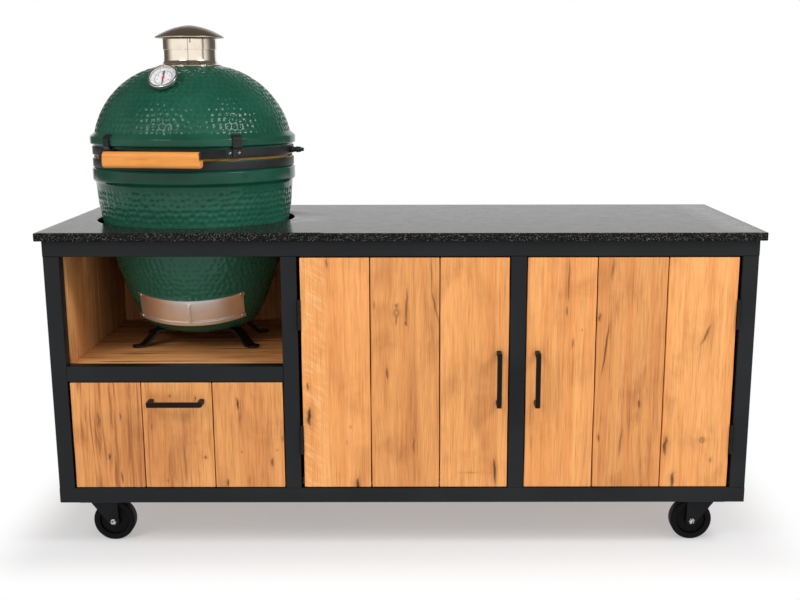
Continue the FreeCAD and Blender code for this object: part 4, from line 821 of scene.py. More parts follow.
@dataclass
class Patch:
    """A grid of points, rows by columns, that closes into a solid skin."""

    points: Array
    plane: Array
    loop_rows: bool = False
    marks: Fields = field(default_factory=dict)
    window: tuple[int, int, int, int, int] | None = None

    def moved(self, matrix: Array) -> "Patch":
        """The same patch with every point put through a matrix."""
        self.points = self.points @ matrix[:3, :3].T + matrix[:3, 3]
        return self

    def quads(self) -> tuple[Array, Array]:
        """Four corners for each cell of the grid, columns always joining up.

        Returns:
            Corner numbers into the points, and into the flat coordinates, which have a column more, and
            a row more where the rows join up too.
        """
        rows, columns = self.points.shape[:2]
        a, b = np.meshgrid(np.arange(rows - 1 + self.loop_rows), np.arange(columns), indexing="ij")
        if self.window:
            low, high, other_low, left, right = self.window
            span = high - low
            aside = (b < left) | (b >= right)
            keep = aside | (((a < low) | (a >= high)) & ((a < other_low) | (a >= other_low + span)))
            a, b = a[keep], b[keep]
        quads = quad_corners(a, (a + 1) % rows, b, (b + 1) % columns, columns)
        places = quad_corners(a, a + 1, b, b + 1, columns + 1)
        if self.window:
            walls, wall_places = self.window_walls()
            quads = np.vstack([quads, walls])
            places = np.vstack([places, wall_places])
        return quads, places

    def window_walls(self) -> tuple[Array, Array]:
        """The four walls of a window through two skins: each joins an outer edge to the inner one.

        Returns:
            Corner numbers into the points, and into the flat coordinates.
        """
        low, high, other_low, left, right = self.window
        other_high = other_low + high - low
        b = np.arange(left, right)
        a = np.arange(low, high)
        back = other_high - (a - low)

        def at(wide: int) -> Array:
            """The walls' corners in a grid that is so many columns wide.

            Args:
                wide: The columns of the grid.

            Returns:
                Four corner numbers for each cell.
            """
            floor = quad_corners(low, other_high, b, b + 1, wide)
            roof = quad_corners(high, other_low, b + 1, b, wide)
            near = np.stack([a + 1, a, back, back - 1], axis=-1) * wide + left
            far = np.stack([a, a + 1, back - 1, back], axis=-1) * wide + right
            return np.vstack([floor, roof, near, far])

        columns = self.points.shape[1]
        return at(columns), at(columns + 1)

    def skin(self) -> tuple[Array, Array, list[Array], list[Array]]:
        """The closed skin, its faces turned outwards by the sign of the volume that they enclose.

        Returns:
            Points, flat coordinates, and for quads and triangles their corner numbers into each.
        """
        points = self.points.reshape(-1, 3)
        plane = self.plane.reshape(-1, 2)
        quads, places = self.quads()
        faces, flats = [quads], [places]
        if not self.loop_rows:
            last, columns = len(self.points) - 1, self.points.shape[1]
            b = np.arange(columns)
            faces.append(fans(b, (b + 1) % columns, last * columns, len(points)))
            flats.append(fans(b, b + 1, last * (columns + 1), len(plane)))
            points = np.vstack([points, self.points[[0, last]].mean(axis=1)])
            plane = np.vstack([plane, self.plane[[0, last]].mean(axis=1)])
        if self.volume(points, faces) < 0.0:
            faces = [part[:, ::-1] for part in faces]
            flats = [part[:, ::-1] for part in flats]
        return points, plane, faces, flats

    @staticmethod
    def volume(points: Array, faces: list[Array]) -> float:
        """The enclosed volume: a sixth of the sum of the triple products of all triangles' corners.

        Args:
            points: The points of a closed skin.
            faces: Its quads and triangles, as corner numbers.

        Returns:
            The volume, below nought where the faces look inwards.
        """
        triangles = [part[:, [0, i, i + 1]] for part in faces for i in range(1, part.shape[1] - 1)]
        a, b, c = np.moveaxis(points[np.vstack(triangles)], 1, 0)
        return float(np.einsum("ij,ij->", a, np.cross(b, c)) / 6.0)

    def mark_values(self, name: str) -> Array:
        """One number for every point of the skin, the caps' middles with it."""
        values = self.marks.get(name, np.zeros(self.points.shape[:2]))
        return np.append(values.reshape(-1), [] if self.loop_rows else values[[0, -1]].mean(axis=1))


@dataclass
class Piece:
    """One named piece of the scene, made of patches."""

    name: str
    patches: list[Patch]
    finish: Finish
    slot: Slot
    body: str
    stands_for: tuple[str, ...]
    sharp: float = 38.0

    def build(self) -> bpy.types.Object:
        """Put the patches into one mesh, dress it and let it ride on its body.

        Returns:
            The finished object, at the origin, with its place in its mesh.
        """
        skins = [patch.skin() for patch in self.patches]
        point_start = np.cumsum([0] + [len(skin[0]) for skin in skins])
        plane_start = np.cumsum([0] + [len(skin[1]) for skin in skins])
        points = np.vstack([skin[0] for skin in skins]) * MILLIMETRE
        plane = np.vstack([skin[1] for skin in skins])
        faces = [part + start for skin, start in zip(skins, point_start) for part in skin[2]]
        flats = [part + start for skin, start in zip(skins, plane_start) for part in skin[3]]
        corners = np.concatenate([part.reshape(-1) for part in faces])
        flat_corners = np.concatenate([part.reshape(-1) for part in flats])
        sizes = np.concatenate([np.full(len(part), part.shape[1]) for part in faces])
        mesh = bpy.data.meshes.new(self.name)
        mesh.vertices.add(len(points))
        mesh.vertices.foreach_set("co", points.astype(np.float32).reshape(-1))
        mesh.loops.add(len(corners))
        mesh.loops.foreach_set("vertex_index", corners.astype(np.int32))
        mesh.polygons.add(len(sizes))
        mesh.polygons.foreach_set("loop_start", (np.cumsum(sizes) - sizes).astype(np.int32))
        mesh.update(calc_edges=True)
        layer = mesh.uv_layers.new(name="plane")
        layer.data.foreach_set("uv", plane[flat_corners].astype(np.float32).reshape(-1))
        for mark in sorted({name for patch in self.patches for name in patch.marks}):
            values = np.concatenate([patch.mark_values(mark) for patch in self.patches])
            carried = mesh.attributes.new(mark, "FLOAT", "POINT")
            carried.data.foreach_set("value", values.astype(np.float32))
        mesh.polygons.foreach_set("use_smooth", np.ones(len(sizes), dtype=bool))
        mesh.set_sharp_from_angle(angle=math.radians(self.sharp))
        mesh.materials.append(self.finish.material)
        made = placed(self.name, mesh)
        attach(made, self.body)
        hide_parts(*self.stands_for)
        log.info("%s: %d faces, rides on %s", self.name, len(sizes), self.body)
        return made


def fillet(corners: Array | list[Pair], radii: list[float], closed: bool = True, steps: int = 5) -> Array:
    """Round the corners of a line of straight runs, each with a parabola that touches both runs.

    The point at s is the corner, plus (1 - s) squared of the way to the start of the bend on the run
    before, plus s squared of the way to its end on the run after. Each bend takes up the radius over the
    tangent of half the angle.

    Args:
        corners: The corners, in two or three dimensions.
        radii: One radius for each corner, above nought. An open line keeps its ends.
        closed: Whether the last corner joins the first.
        steps: Points on each bend.

    Returns:
        The points of the rounded line.
    """
    spots = np.asarray(corners, float)
    behind = np.roll(spots, 1, axis=0) - spots
    ahead = np.roll(spots, -1, axis=0) - spots
    behind_long = np.linalg.norm(behind, axis=1, keepdims=True)
    ahead_long = np.linalg.norm(ahead, axis=1, keepdims=True)
    behind, ahead = behind / behind_long, ahead / ahead_long
    half = np.arccos(np.clip((behind * ahead).sum(axis=1, keepdims=True), -1.0, 1.0)) / 2.0
    taken = np.asarray(radii, float)[:, None] / np.tan(half)
    taken = np.minimum(taken, 0.45 * np.minimum(behind_long, ahead_long))[:, None]
    s = np.linspace(0.0, 1.0, steps)[None, :, None]
    bends = spots[:, None] + behind[:, None] * taken * (1.0 - s) ** 2 + ahead[:, None] * taken * s**2
    if closed:
        return bends.reshape(-1, spots.shape[1])
    return np.vstack([spots[:1], bends[1:-1].reshape(-1, spots.shape[1]), spots[-1:]])


@dataclass(frozen=True)
class Arc:
    """An arc of a turned profile that bulges outwards: radius and height of both ends, and its own radius."""

    start: Pair
    end: Pair
    bend: float

    @property
    def middle(self) -> Array:
        """The arc's middle, on its chord's square bisector, on the axis side.

        Returns:
            The middle's radius and height.
        """
        low, high = np.array(self.start, float), np.array(self.end, float)
        chord = high - low
        long = np.linalg.norm(chord)
        aside = np.array([-chord[1], chord[0]]) / long
        return (low + high) / 2.0 + aside * math.sqrt(self.bend**2 - long**2 / 4.0)

    def at(self, heights: Array) -> Array:
        """Points at heights: the middle's radius plus the root of bend squared less rise above it squared."""
        reach, level = self.middle
        return np.column_stack([reach + np.sqrt(self.bend**2 - (heights - level) ** 2), heights])

    def even(self, count: int) -> Array:
        """Points at even steps: the middle plus the bend along the cosine and sine of a growing turn.

        Args:
            count: How many points.

        Returns:
            Radius and height of each point.
        """
        middle = self.middle
        ends = (self.start, self.end)
        first, last = (math.atan2(height - middle[1], radius - middle[0]) for radius, height in ends)
        turn = np.linspace(first, last, count)
        return middle + self.bend * np.column_stack([np.cos(turn), np.sin(turn)])


def revolve(profile: Array, columns: int, closed: bool) -> Patch:
    """Turn a profile of radius and height round the Z axis.

    The turn starts and ends at the back and grows to the right. The flat coordinates are the share of the
    turn and the length along the profile in metres.

    Args:
        profile: Radius and height of each point.
        columns: Points round the turn.
        closed: Whether the profile's last point joins its first. An open one starts and ends near the axis.

    Returns:
        The patch.
    """
    share = np.linspace(0.0, 1.0, columns + 1)
    points = around(profile[:, :1], (share[:-1] - 0.5) * FULL_TURN, profile[:, 1:])
    line = np.vstack([profile, profile[:1]]) if closed else profile
    return Patch(points, flat_grid(share, travelled(line) * MILLIMETRE), loop_rows=closed)


def lathe(
    corners: Array | list[Pair], radii: list[float], columns: int, closed: bool = True, steps: int = 5
) -> Patch:
    """Turn a profile with eased corners round the Z axis."""
    return revolve(fillet(corners, radii, closed, steps), columns, closed)


def sweep(path: Array, section: Array, upright: Array) -> Patch:
    """Carry a closed section along a flat path, mitred at each bend.

    At each point the section lies in the plane that halves the bend, drawn out by one over the cosine of
    half the bend, so that the bar keeps its width on both sides.

    Args:
        path: The points of the path.
        section: Points of the section: across the path in its plane, and along upright.
        upright: The direction square to the path's plane.

    Returns:
        The patch, closed at both ends.
    """
    steps = np.diff(path, axis=0)
    steps = steps / np.linalg.norm(steps, axis=1, keepdims=True)
    before, after = np.vstack([steps[:1], steps]), np.vstack([steps, steps[-1:]])
    along = before + after
    along = along / np.linalg.norm(along, axis=1, keepdims=True)
    drawn = 1.0 / (along * after).sum(axis=1)
    side = np.cross(along, upright) * drawn[:, None]
    points = path[:, None] + section[None, :, :1] * side[:, None] + section[None, :, 1:] * upright
    share = np.linspace(0.0, 1.0, len(section) + 1)
    return Patch(points, flat_grid(share, travelled(path) * MILLIMETRE))


def waves(place: Array, seed: int, longest: float) -> Array:
    """A smooth wander of -1 to 1 along a line: five sines of seeded phase, the longer the taller.

    Args:
        place: How far along the line each point is.
        seed: The seed of the phases.
        longest: The longest wave.

    Returns:
        How far each point wanders.
    """
    source = np.random.default_rng(seed)
    lengths = longest / np.array([1.0, 1.7, 2.9, 4.3, 7.1])
    heights = np.array([0.4, 0.25, 0.17, 0.11, 0.07])
    phases = source.uniform(0.0, FULL_TURN, 5)
    return (heights * np.sin(place[..., None] * FULL_TURN / lengths + phases)).sum(axis=-1)


@dataclass(frozen=True)
class Split:
    """A flaw on a board's face: its place in shares of the board, its size in millimetres and how dark."""

    across: float
    along: float
    length: float
    width: float
    dark: float = 0.75
    lean: float = 0.0
    kind: Mark = Mark.CRACK


@dataclass(frozen=True)
class Figure:
    """What sets one board apart: how dark and streaky it is, and how curly near its left side."""

    tint: float = 0.0
    streak: float = 0.3
    curl: float = 0.0
    curl_reach: float = 0.4
    curl_fade: float = 0.12


@dataclass
class Board:
    """One board with worn arrises: its corners in millimetres, the axis it runs along, and its face."""

    low: Point
    high: Point
    run: Axis
    face: Axis
    face_low: bool
    seed: int
    splits: tuple[Split, ...] = ()
    figure: Figure = Figure()
    step: Pair = (4.0, 12.0)
    arris: float = 1.8
    wander: float = 0.7
    wander_lengths: Pair = (420.0, 380.0)
    crack_depth: float = 2.6
    knot_depth: float = 0.5

    def section(self, wide: float, thick: float) -> tuple[Array, Array]:
        """The loop round the board: a point is its centre plus the arris radius along its direction.

        Args:
            wide: The board's width.
            thick: Its thickness.

        Returns:
            Centres and directions, the face's points first.
        """
        r = self.arris
        count = max(3, int((wide - 2 * r) / self.step[0]))
        face = np.linspace(r, wide - r, count)
        back = np.linspace(wide - r, r, 7)
        quarter = np.linspace(0.0, QUARTER_TURN, 6)[1:-1]
        corners = np.array([[wide - r, r], [wide - r, thick - r], [r, thick - r], [r, r]])
        starts = np.array([-0.5, 0.0, 0.5, 1.0]) * math.pi
        turns = starts[:, None] + quarter
        sides = np.array([[1.0, 0.0], [-1.0, 0.0]])
        centres = np.vstack([
            np.column_stack([face, np.full(count, r)]), np.repeat(corners[:2], 5, axis=0),
            np.column_stack([back, np.full(7, thick - r)]), np.repeat(corners[2:], 5, axis=0),
        ])
        arcs = np.stack([np.cos(turns), np.sin(turns)], axis=-1)
        directions = np.vstack([
            np.tile([0.0, -1.0], (count, 1)), arcs[0], sides[[0, 0]], arcs[1],
            np.tile([0.0, 1.0], (7, 1)), arcs[2], sides[[1, 1]], arcs[3],
        ])
        return centres, directions

    def stations(self, long: float) -> tuple[Array, Array]:
        """Places along the board, closer at the rounded ends, and the radius of the arris there.

        Args:
            long: The board's length.

        Returns:
            The places, and a radius that follows a quarter circle at each end.
        """
        turn = np.linspace(0.0, QUARTER_TURN, 5)
        near = self.arris * (1.0 - np.cos(turn))
        inner = np.linspace(self.arris, long - self.arris, max(3, int(long / self.step[1])))[1:-1]
        places = np.concatenate([near, inner, long - near[::-1]])
        radius = self.arris * np.concatenate([np.sin(turn), np.ones(len(inner)), np.sin(turn[::-1])])
        return places, radius

    def broken(self, across: Array, along: Array, wide: float, long: float) -> Fields:
        """How far each point lies in a crack, in a knot or in the dark wood round them, from 0 to 1.

        A crack is a long lens that leans and wanders a little: its depth falls from its line to nought at
        its side. A scratch is the same across the board. A knot is an ellipse. The halo is a soft ellipse
        about twice as wide, and a shade is a halo alone.

        Args:
            across: Each point's distance from the board's left side.
            along: Each point's distance from its lower end.
            wide: The board's width.
            long: Its length.

        Returns:
            The fields crack, knot and halo, and bend, the sideways push of the grain round the knots.
        """
        fields = {name: np.zeros_like(across) for name in ("crack", "knot", "halo", "bend")}
        for index, split in enumerate(self.splits):
            run, side = along - split.along * long, across - split.across * wide
            if split.kind is Mark.SCRATCH:
                run, side = side, run
            wobble = waves(run, self.seed * 31 + index, min(split.length, 90.0) * 1.3)
            wobble = wobble * max(0.35 * split.width, 0.8)
            aside = side - split.lean * run - wobble * (split.kind is not Mark.KNOT)
            lens = np.clip(1.0 - (2.0 * run / split.length) ** 2, 0.0, 1.0)
            far, wide_of = run / (split.length * 0.55), aside / (split.width * 1.1 + 1.5)
            glow = np.exp(-(far**2) - wide_of**2) * split.dark
            fields["halo"] = np.maximum(fields["halo"], glow * (split.kind is not Mark.SCRATCH))
            if split.kind is Mark.KNOT:
                reach = (2.0 * run / split.length) ** 2 + (2.0 * aside / split.width) ** 2
                fields["knot"] = np.maximum(fields["knot"], np.clip(1.2 - reach, 0.0, 1.0))
            elif split.kind is not Mark.SHADE:
                half = split.width / 2.0 * np.sqrt(lens) + 0.7
                inside = np.clip(1.5 * (1.0 - np.abs(aside) / half), 0.0, 1.0) * np.sqrt(lens) * split.dark
                fields["crack"] = np.maximum(fields["crack"], inside)
            push = np.exp(-((aside / (split.width + 9.0)) ** 2) - (run / (split.length * 0.8 + 12.0)) ** 2)
            bent = push * aside / (split.width + 9.0) * min(7.0, split.width)
            fields["bend"] += bent * (split.kind in (Mark.CRACK, Mark.KNOT))
        return fields

    def patch(self) -> Patch:
        """The board's skin: its section carried along it, its sides wandering, its splits cut into the face.

        Returns:
            The patch, with the marks that the timber reads.
        """
        width_axis = ({0, 1, 2} - {self.run.value, self.face.value}).pop()
        low, high = np.array(self.low, float), np.array(self.high, float)
        size = high - low
        wide, thick, long = size[width_axis], size[self.face.value], size[self.run.value]
        centres, directions = self.section(wide, thick)
        places, radius = self.stations(long)
        spot = centres[None] + directions[None] * radius[:, None, None]
        across, deep = spot[..., 0], spot[..., 1]
        along = np.broadcast_to(places[:, None], across.shape)
        left, right = (
            self.wander * (0.5 + 0.5 * waves(places, seed, longest))[:, None]
            for seed, longest in zip((self.seed, self.seed + 501), self.wander_lengths)
        )
        share = across / wide
        across = across + left * (1.0 - share) - right * share
        fields = self.broken(across, along, wide, long)
        front = np.clip(-directions[:, 1], 0.0, 1.0)[None]
        deep = deep + front * (fields["crack"] * self.crack_depth + fields["knot"] * self.knot_depth)
        points = np.zeros((*across.shape, 3))
        points[..., width_axis] = low[width_axis] + across
        points[..., self.run.value] = low[self.run.value] + along
        face_at = low[self.face.value] + deep if self.face_low else high[self.face.value] - deep
        points[..., self.face.value] = face_at
        loop = travelled(spot[len(places) // 2])
        closing = loop[-1] + 2.0
        source = np.random.default_rng(self.seed)
        offset = source.uniform(0.0, 40.0, 2)
        u = np.column_stack([loop[None] - fields["bend"], np.full(len(places), closing)])
        v = np.column_stack([along, places])
        plane = np.stack([u, v], axis=-1) * MILLIMETRE + offset
        marks = {name: fields[name] * front for name in ("crack", "knot", "halo")}
        figure = self.figure
        marks["board"] = np.full(across.shape, source.uniform(0.0, 1.0))
        marks["tint"] = np.full(across.shape, figure.tint)
        marks["streak"] = np.full(across.shape, figure.streak)
        marks["curl"] = figure.curl * np.clip((figure.curl_reach - share) / figure.curl_fade, 0.0, 1.0)
        return Patch(points, plane, marks=marks)


def board_row(
    low: Point, high: Point, count: int, run: Axis, face: Axis, face_low: bool, seed: int, gap: float = 1.0,
    splits: tuple[tuple[Split, ...], ...] = (), figures: tuple[Figure, ...] = (), **looks: object,
) -> list[Patch]:
    """Boards side by side that fill a block.

    Args:
        low: The block's low corner in millimetres.
        high: Its high corner.
        count: How many boards.
        run: The axis that they run along.
        face: The axis of their thickness.
        face_low: Whether their face looks towards the low end of that axis.
        seed: The first board's seed.
        gap: The gap between boards.
        splits: The flaws of each board.
        figures: What sets each board apart.
        looks: Other fields of the boards.

    Returns:
        One patch for each board.
    """
    side = ({0, 1, 2} - {run.value, face.value}).pop()
    width = (high[side] - low[side] - gap * (count - 1)) / count
    patches = []
    for index in range(count):
        start, end = list(low), list(high)
        start[side] = low[side] + index * (width + gap)
        end[side] = start[side] + width
        own = splits[index] if splits else ()
        figure = figures[index] if figures else Figure()
        board = Board(tuple(start), tuple(end), run, face, face_low, seed + index, own, figure, **looks)
        patches.append(board.patch())
    return patches


def bar_handle(foot: Point, along: Axis, length: float, reach: float, bar: float) -> Patch:
    """A square bar bent to a U that stands on a plank: its section is carried out, along and back.

    Args:
        foot: The middle of the handle on the plank's face.
        along: The axis that the grip runs along.
        length: The handle's outer length.
        reach: How far it stands out, to its outer face.
        bar: The bar's width.

    Returns:
        The patch.
    """
    half = length / 2.0 - bar / 2.0
    out = -(reach - bar / 2.0)
    sunk = 1.5
    corners = [(sunk, -half), (out, -half), (out, half), (sunk, half)]
    flat = fillet(corners, [1.0, 1.6, 1.6, 1.0], False, 4)
    path = np.zeros((len(flat), 3)) + np.array(foot)
    path[:, 1] += flat[:, 0]
    path[:, along.value] += flat[:, 1]
    upright = np.array([0.0, 0.0, 1.0]) if along is Axis.X else np.array([1.0, 0.0, 0.0])
    h = bar / 2.0
    section = fillet([(-h, -h), (h, -h), (h, h), (-h, h)], [1.3] * 4, steps=4)
    return sweep(path, section, upright)


@dataclass
class Worktop:
    """The granite slab, with the round hole that the grill stands in."""

    half_length: float = 900.0
    front: float = -335.0
    back: float = 365.0
    low: float = 805.0
    high: float = 825.0
    hole_at: Pair = (-560.0, 25.0)
    hole_radius: float = 264.0
    arris: float = 1.6
    corner: float = 2.5
    spacing: float = 20.0

    def outline(self) -> Array:
        """The slab's outer edge: a rectangle with eased corners, with more points along its sides.

        Returns:
            X and Y of each point.
        """
        x, f, b = self.half_length, self.front, self.back
        eased = fillet([(-x, f), (x, f), (x, b), (-x, b)], [self.corner] * 4)
        ring = np.vstack([eased, eased[:1]])
        travel = travelled(ring)
        stops = np.unique(np.concatenate([travel[:-1], np.arange(0.0, travel[-1] - 1.0, self.spacing)]))
        return np.column_stack([np.interp(stops, travel, ring[:, 0]), np.interp(stops, travel, ring[:, 1])])

    def patch(self) -> Patch:
        """The slab: columns on rays from the hole's middle, round its edge, the top, the rim and below.

        A point is a share of the way from the hole to the outer edge, moved along the ray at the arrises.

        Returns:
            The patch, closed both ways.
        """
        outer = self.outline()
        middle = np.array(self.hole_at)
        ray = outer - middle
        ray = ray / np.linalg.norm(ray, axis=1, keepdims=True)
        hole = middle + ray * self.hole_radius
        a = self.arris
        b = a * (1.0 - math.sqrt(0.5))
        low, high = self.low, self.high
        inward = np.linspace(0.0, 1.0, 12)
        edge = np.linspace(high - a, low + a, 6)
        rows = np.array(
            [(0.0, 0.0, z) for z in (low + a, (low + high) / 2.0, high - a)]
            + [(0.0, b, high - b)]
            + [(share, a * (1.0 - 2.0 * share), high) for share in inward]
            + [(1.0, -b, high - b)]
            + [(1.0, 0.0, z) for z in edge]
            + [(1.0, -b, low + b)]
            + [(share, a * (1.0 - 2.0 * share), low) for share in inward[::-1]]
            + [(0.0, b, low + b)]
        )
        share, aside, height = (rows[:, i, None, None] for i in range(3))
        flat = hole[None] * (1.0 - share) + outer[None] * share + ray[None] * aside
        points = np.concatenate([flat, np.broadcast_to(height, (*flat.shape[:2], 1))], axis=-1)
        return Patch(points, looped(points), loop_rows=True)

    def build(self) -> None:
        """Lay the slab on the frame."""
        slab = [self.patch()]
        Piece("worktop_slab", slab, Finishes.granite, Slot.GRANITE, "cabinet", ("worktop",), CRISP).build()


LEFT_DOOR_SPLITS = (
    (
        Split(0.39, 0.978, 28.0, 4.0, 0.6), Split(0.08, 0.449, 19.0, 4.5),
        Split(0.095, 0.315, 52.0, 9.5, 1.0), Split(0.80, 0.010, 36.0, 8.5, 0.9),
        Split(0.70, 0.27, 9.0, 3.0, 0.4), Split(0.64, 0.20, 12.0, 2.5, 0.3),
    ),
    (
        Split(0.378, 0.768, 26.0, 14.0, 0.8, kind=Mark.KNOT), Split(0.378, 0.798, 12.0, 9.0, 0.6),
        Split(0.37, 0.733, 26.0, 3.0, 0.6), Split(0.524, 0.79, 98.0, 5.6, 0.62),
        Split(0.515, 0.722, 15.0, 4.5), Split(0.88, 0.93, 92.0, 2.4, 0.5),
        Split(0.93, 0.80, 92.0, 2.8, 0.6, -0.22), Split(0.236, 0.506, 30.0, 4.2, 0.7),
        Split(0.605, 0.27, 330.0, 9.0, 0.8, kind=Mark.SHADE), Split(0.625, 0.19, 46.0, 5.0, 0.55),
        Split(0.055, 0.80, 22.0, 2.6, 0.45), Split(0.2, 0.93, 70.0, 26.0, 0.6, kind=Mark.SHADE),
    ),
    (
        Split(0.815, 0.069, 72.0, 6.0, 0.85, -0.09), Split(0.5, 0.062, 190.0, 1.6, 0.38, kind=Mark.SCRATCH),
        Split(0.8, 0.55, 240.0, 22.0, 0.3, kind=Mark.SHADE),
    ),
)
RIGHT_DOOR_SPLITS = (
    (
        Split(0.59, 0.905, 120.0, 2.8, 0.6), Split(0.575, 0.773, 26.0, 4.4, 0.55),
        Split(0.67, 0.635, 28.0, 4.2, 0.55, 0.12), Split(0.675, 0.53, 110.0, 2.2, 0.25),
        Split(0.8, 0.695, 5.0, 3.0, 0.5), Split(0.09, 0.2, 42.0, 2.2, 0.3),
    ),
    (
        Split(0.14, 0.612, 142.0, 3.4, 0.75, 0.118), Split(0.04, 0.746, 22.0, 5.4, 0.7),
        Split(0.66, 0.371, 23.0, 4.8), Split(0.405, 0.20, 78.0, 3.8, 0.55, 0.1),
        Split(0.08, 0.22, 19.0, 3.4, 0.7), Split(0.2, 0.95, 60.0, 9.0, 0.4, 0.05),
        Split(0.1, 0.92, 90.0, 16.0, 0.6, kind=Mark.SHADE),
        Split(0.45, 0.88, 90.0, 7.0, 0.4, kind=Mark.SHADE),
    ),
    (
        Split(0.575, 0.672, 56.0, 7.0, 0.62, 0.47), Split(0.5, 0.57, 82.0, 2.0, 0.25, 0.05),
        Split(0.6, 0.21, 15.0, 15.0, 0.8, kind=Mark.KNOT), Split(0.06, 0.184, 54.0, 9.5, 0.8),
        Split(0.19, 0.03, 44.0, 9.0, 0.8, 0.1), Split(0.74, 0.12, 15.0, 5.0, 0.45),
        Split(0.85, 0.405, 16.0, 1.8, 0.45, kind=Mark.SCRATCH),
    ),
)
DRAWER_SPLITS = (
    (
        Split(0.38, 0.642, 46.0, 9.0, 0.5), Split(0.69, 0.68, 24.0, 4.2, 0.6),
        Split(0.5, 0.295, 18.0, 5.2, 0.8), Split(0.665, 0.094, 35.0, 4.6, 0.65),
        Split(0.56, 0.76, 122.0, 7.0, 0.42, -0.05), Split(0.44, 0.42, 122.0, 3.2, 0.45, -0.05),
        Split(0.585, 0.16, 88.0, 2.8, 0.42), Split(0.2, 0.7, 60.0, 4.0, 0.35),
        Split(0.34, 0.47, 60.0, 3.0, 0.35, -0.2), Split(0.83, 0.4, 240.0, 34.0, 0.75, kind=Mark.SHADE),
        Split(0.78, 0.9, 60.0, 22.0, 0.5, kind=Mark.SHADE),
    ),
    (
        Split(0.4, 0.875, 8.0, 3.2, 0.7), Split(0.76, 0.85, 15.0, 3.0, 0.7),
        Split(0.875, 0.288, 7.0, 4.6, 0.85), Split(0.12, 0.58, 16.0, 4.2, 0.4),
        Split(0.58, 0.22, 118.0, 2.4, 0.42, -0.03), Split(0.32, 0.065, 7.0, 4.2, 0.5),
        Split(0.1, 0.45, 120.0, 12.0, 0.4, kind=Mark.SHADE),
    ),
    (
        Split(0.35, 0.80, 34.0, 5.2, 0.9, -0.06), Split(0.365, 0.68, 34.0, 4.2, 0.35),
        Split(0.82, 0.24, 22.0, 4.6), Split(0.17, 0.04, 22.0, 4.2, 0.8), Split(0.985, 0.47, 20.0, 8.0, 0.45),
        Split(0.9, 0.36, 5.0, 4.0, 0.6), Split(0.9, 0.45, 4.0, 3.4, 0.5), Split(0.39, 0.345, 5.0, 3.0, 0.5),
        Split(0.49, 0.06, 30.0, 5.0, 0.3),
    ),
)
SHELF_SPLITS = (
    (
        Split(0.62, 0.70, 150.0, 9.0, 0.8), Split(0.8, 0.78, 100.0, 7.0, 0.85),
        Split(0.5, 0.88, 70.0, 8.0, 0.8), Split(0.3, 0.8, 110.0, 7.0, 0.7),
        Split(0.42, 0.28, 130.0, 8.0, 0.75), Split(0.72, 0.72, 260.0, 60.0, 0.6, kind=Mark.SHADE),
    ),
    (
        Split(0.15, 0.75, 140.0, 6.0, 0.6), Split(0.4, 0.3, 120.0, 4.0, 0.5),
        Split(0.2, 0.72, 240.0, 70.0, 0.6, kind=Mark.SHADE),
    ),
)
LEFT_DOOR_FIGURES = (Figure(0.03, 0.1, 0.5), Figure(0.27, 0.2), Figure(0.12, 0.12))
RIGHT_DOOR_FIGURES = (Figure(0.11, 0.18), Figure(0.33, 0.25), Figure(0.1, 0.12))
DRAWER_FIGURES = (Figure(0.29, 0.95), Figure(0.26, 0.35), Figure(0.26, 0.25))
SHELF_FIGURES = (Figure(-0.1, 1.0), Figure(0.05, 1.0))


@dataclass
class PlankFront:
    """A front of three upright planks with a bar handle, a door's or the drawer's."""

    body: str
    node: str
    sides: Pair
    high: float
    seed: int
    splits: tuple[tuple[Split, ...], ...]
    figures: tuple[Figure, ...]
    handle_at: Pair
    handle_run: Axis = Axis.Z
    low: float = 167.5
    face: float = -320.0
    inside: float = -294.0
    gap: float = 1.6
    wander: float = 1.1
    step: Pair = (1.3, 4.0)
    handle_length: float = 140.0
    handle_reach: float = 45.0
    bar: float = 12.0

    def build(self) -> None:
        """Set the planks side by side and stand the handle on them."""
        low, high = (self.sides[0], self.face, self.low), (self.sides[1], self.inside, self.high)
        planks = board_row(
            low, high, 3, Axis.Z, Axis.Y, True, self.seed, self.gap, self.splits, self.figures,
            step=self.step, wander=self.wander,
        )
        name, handle = f"{self.body}_boards", (f"{self.body}_handle",)
        Piece(name, planks, Finishes.planks, Slot.PLANK_WOOD, self.body, (self.node,)).build()
        foot = (self.handle_at[0], self.face, self.handle_at[1])
        bar = [bar_handle(foot, self.handle_run, self.handle_length, self.handle_reach, self.bar)]
        Piece(f"{self.body}_bar", bar, Finishes.handle, Slot.HANDLE_BLACK, self.body, handle, CRISP).build()


FRONTS = (
    PlankFront(
        "left_door", "left_door_planks", (-251.5, 270.0), 762.0, 11, LEFT_DOOR_SPLITS, LEFT_DOOR_FIGURES,
        (245.5, 457.0),
    ),
    PlankFront(
        "right_door", "right_door_planks", (314.0, 837.5), 762.0, 21, RIGHT_DOOR_SPLITS, RIGHT_DOOR_FIGURES,
        (342.0, 457.0),
    ),
    PlankFront(
        "drawer", "drawer_front", (-840.0, -301.0), 445.0, 31, DRAWER_SPLITS, DRAWER_FIGURES,
        (-571.0, 397.0), Axis.X,
    ),
)


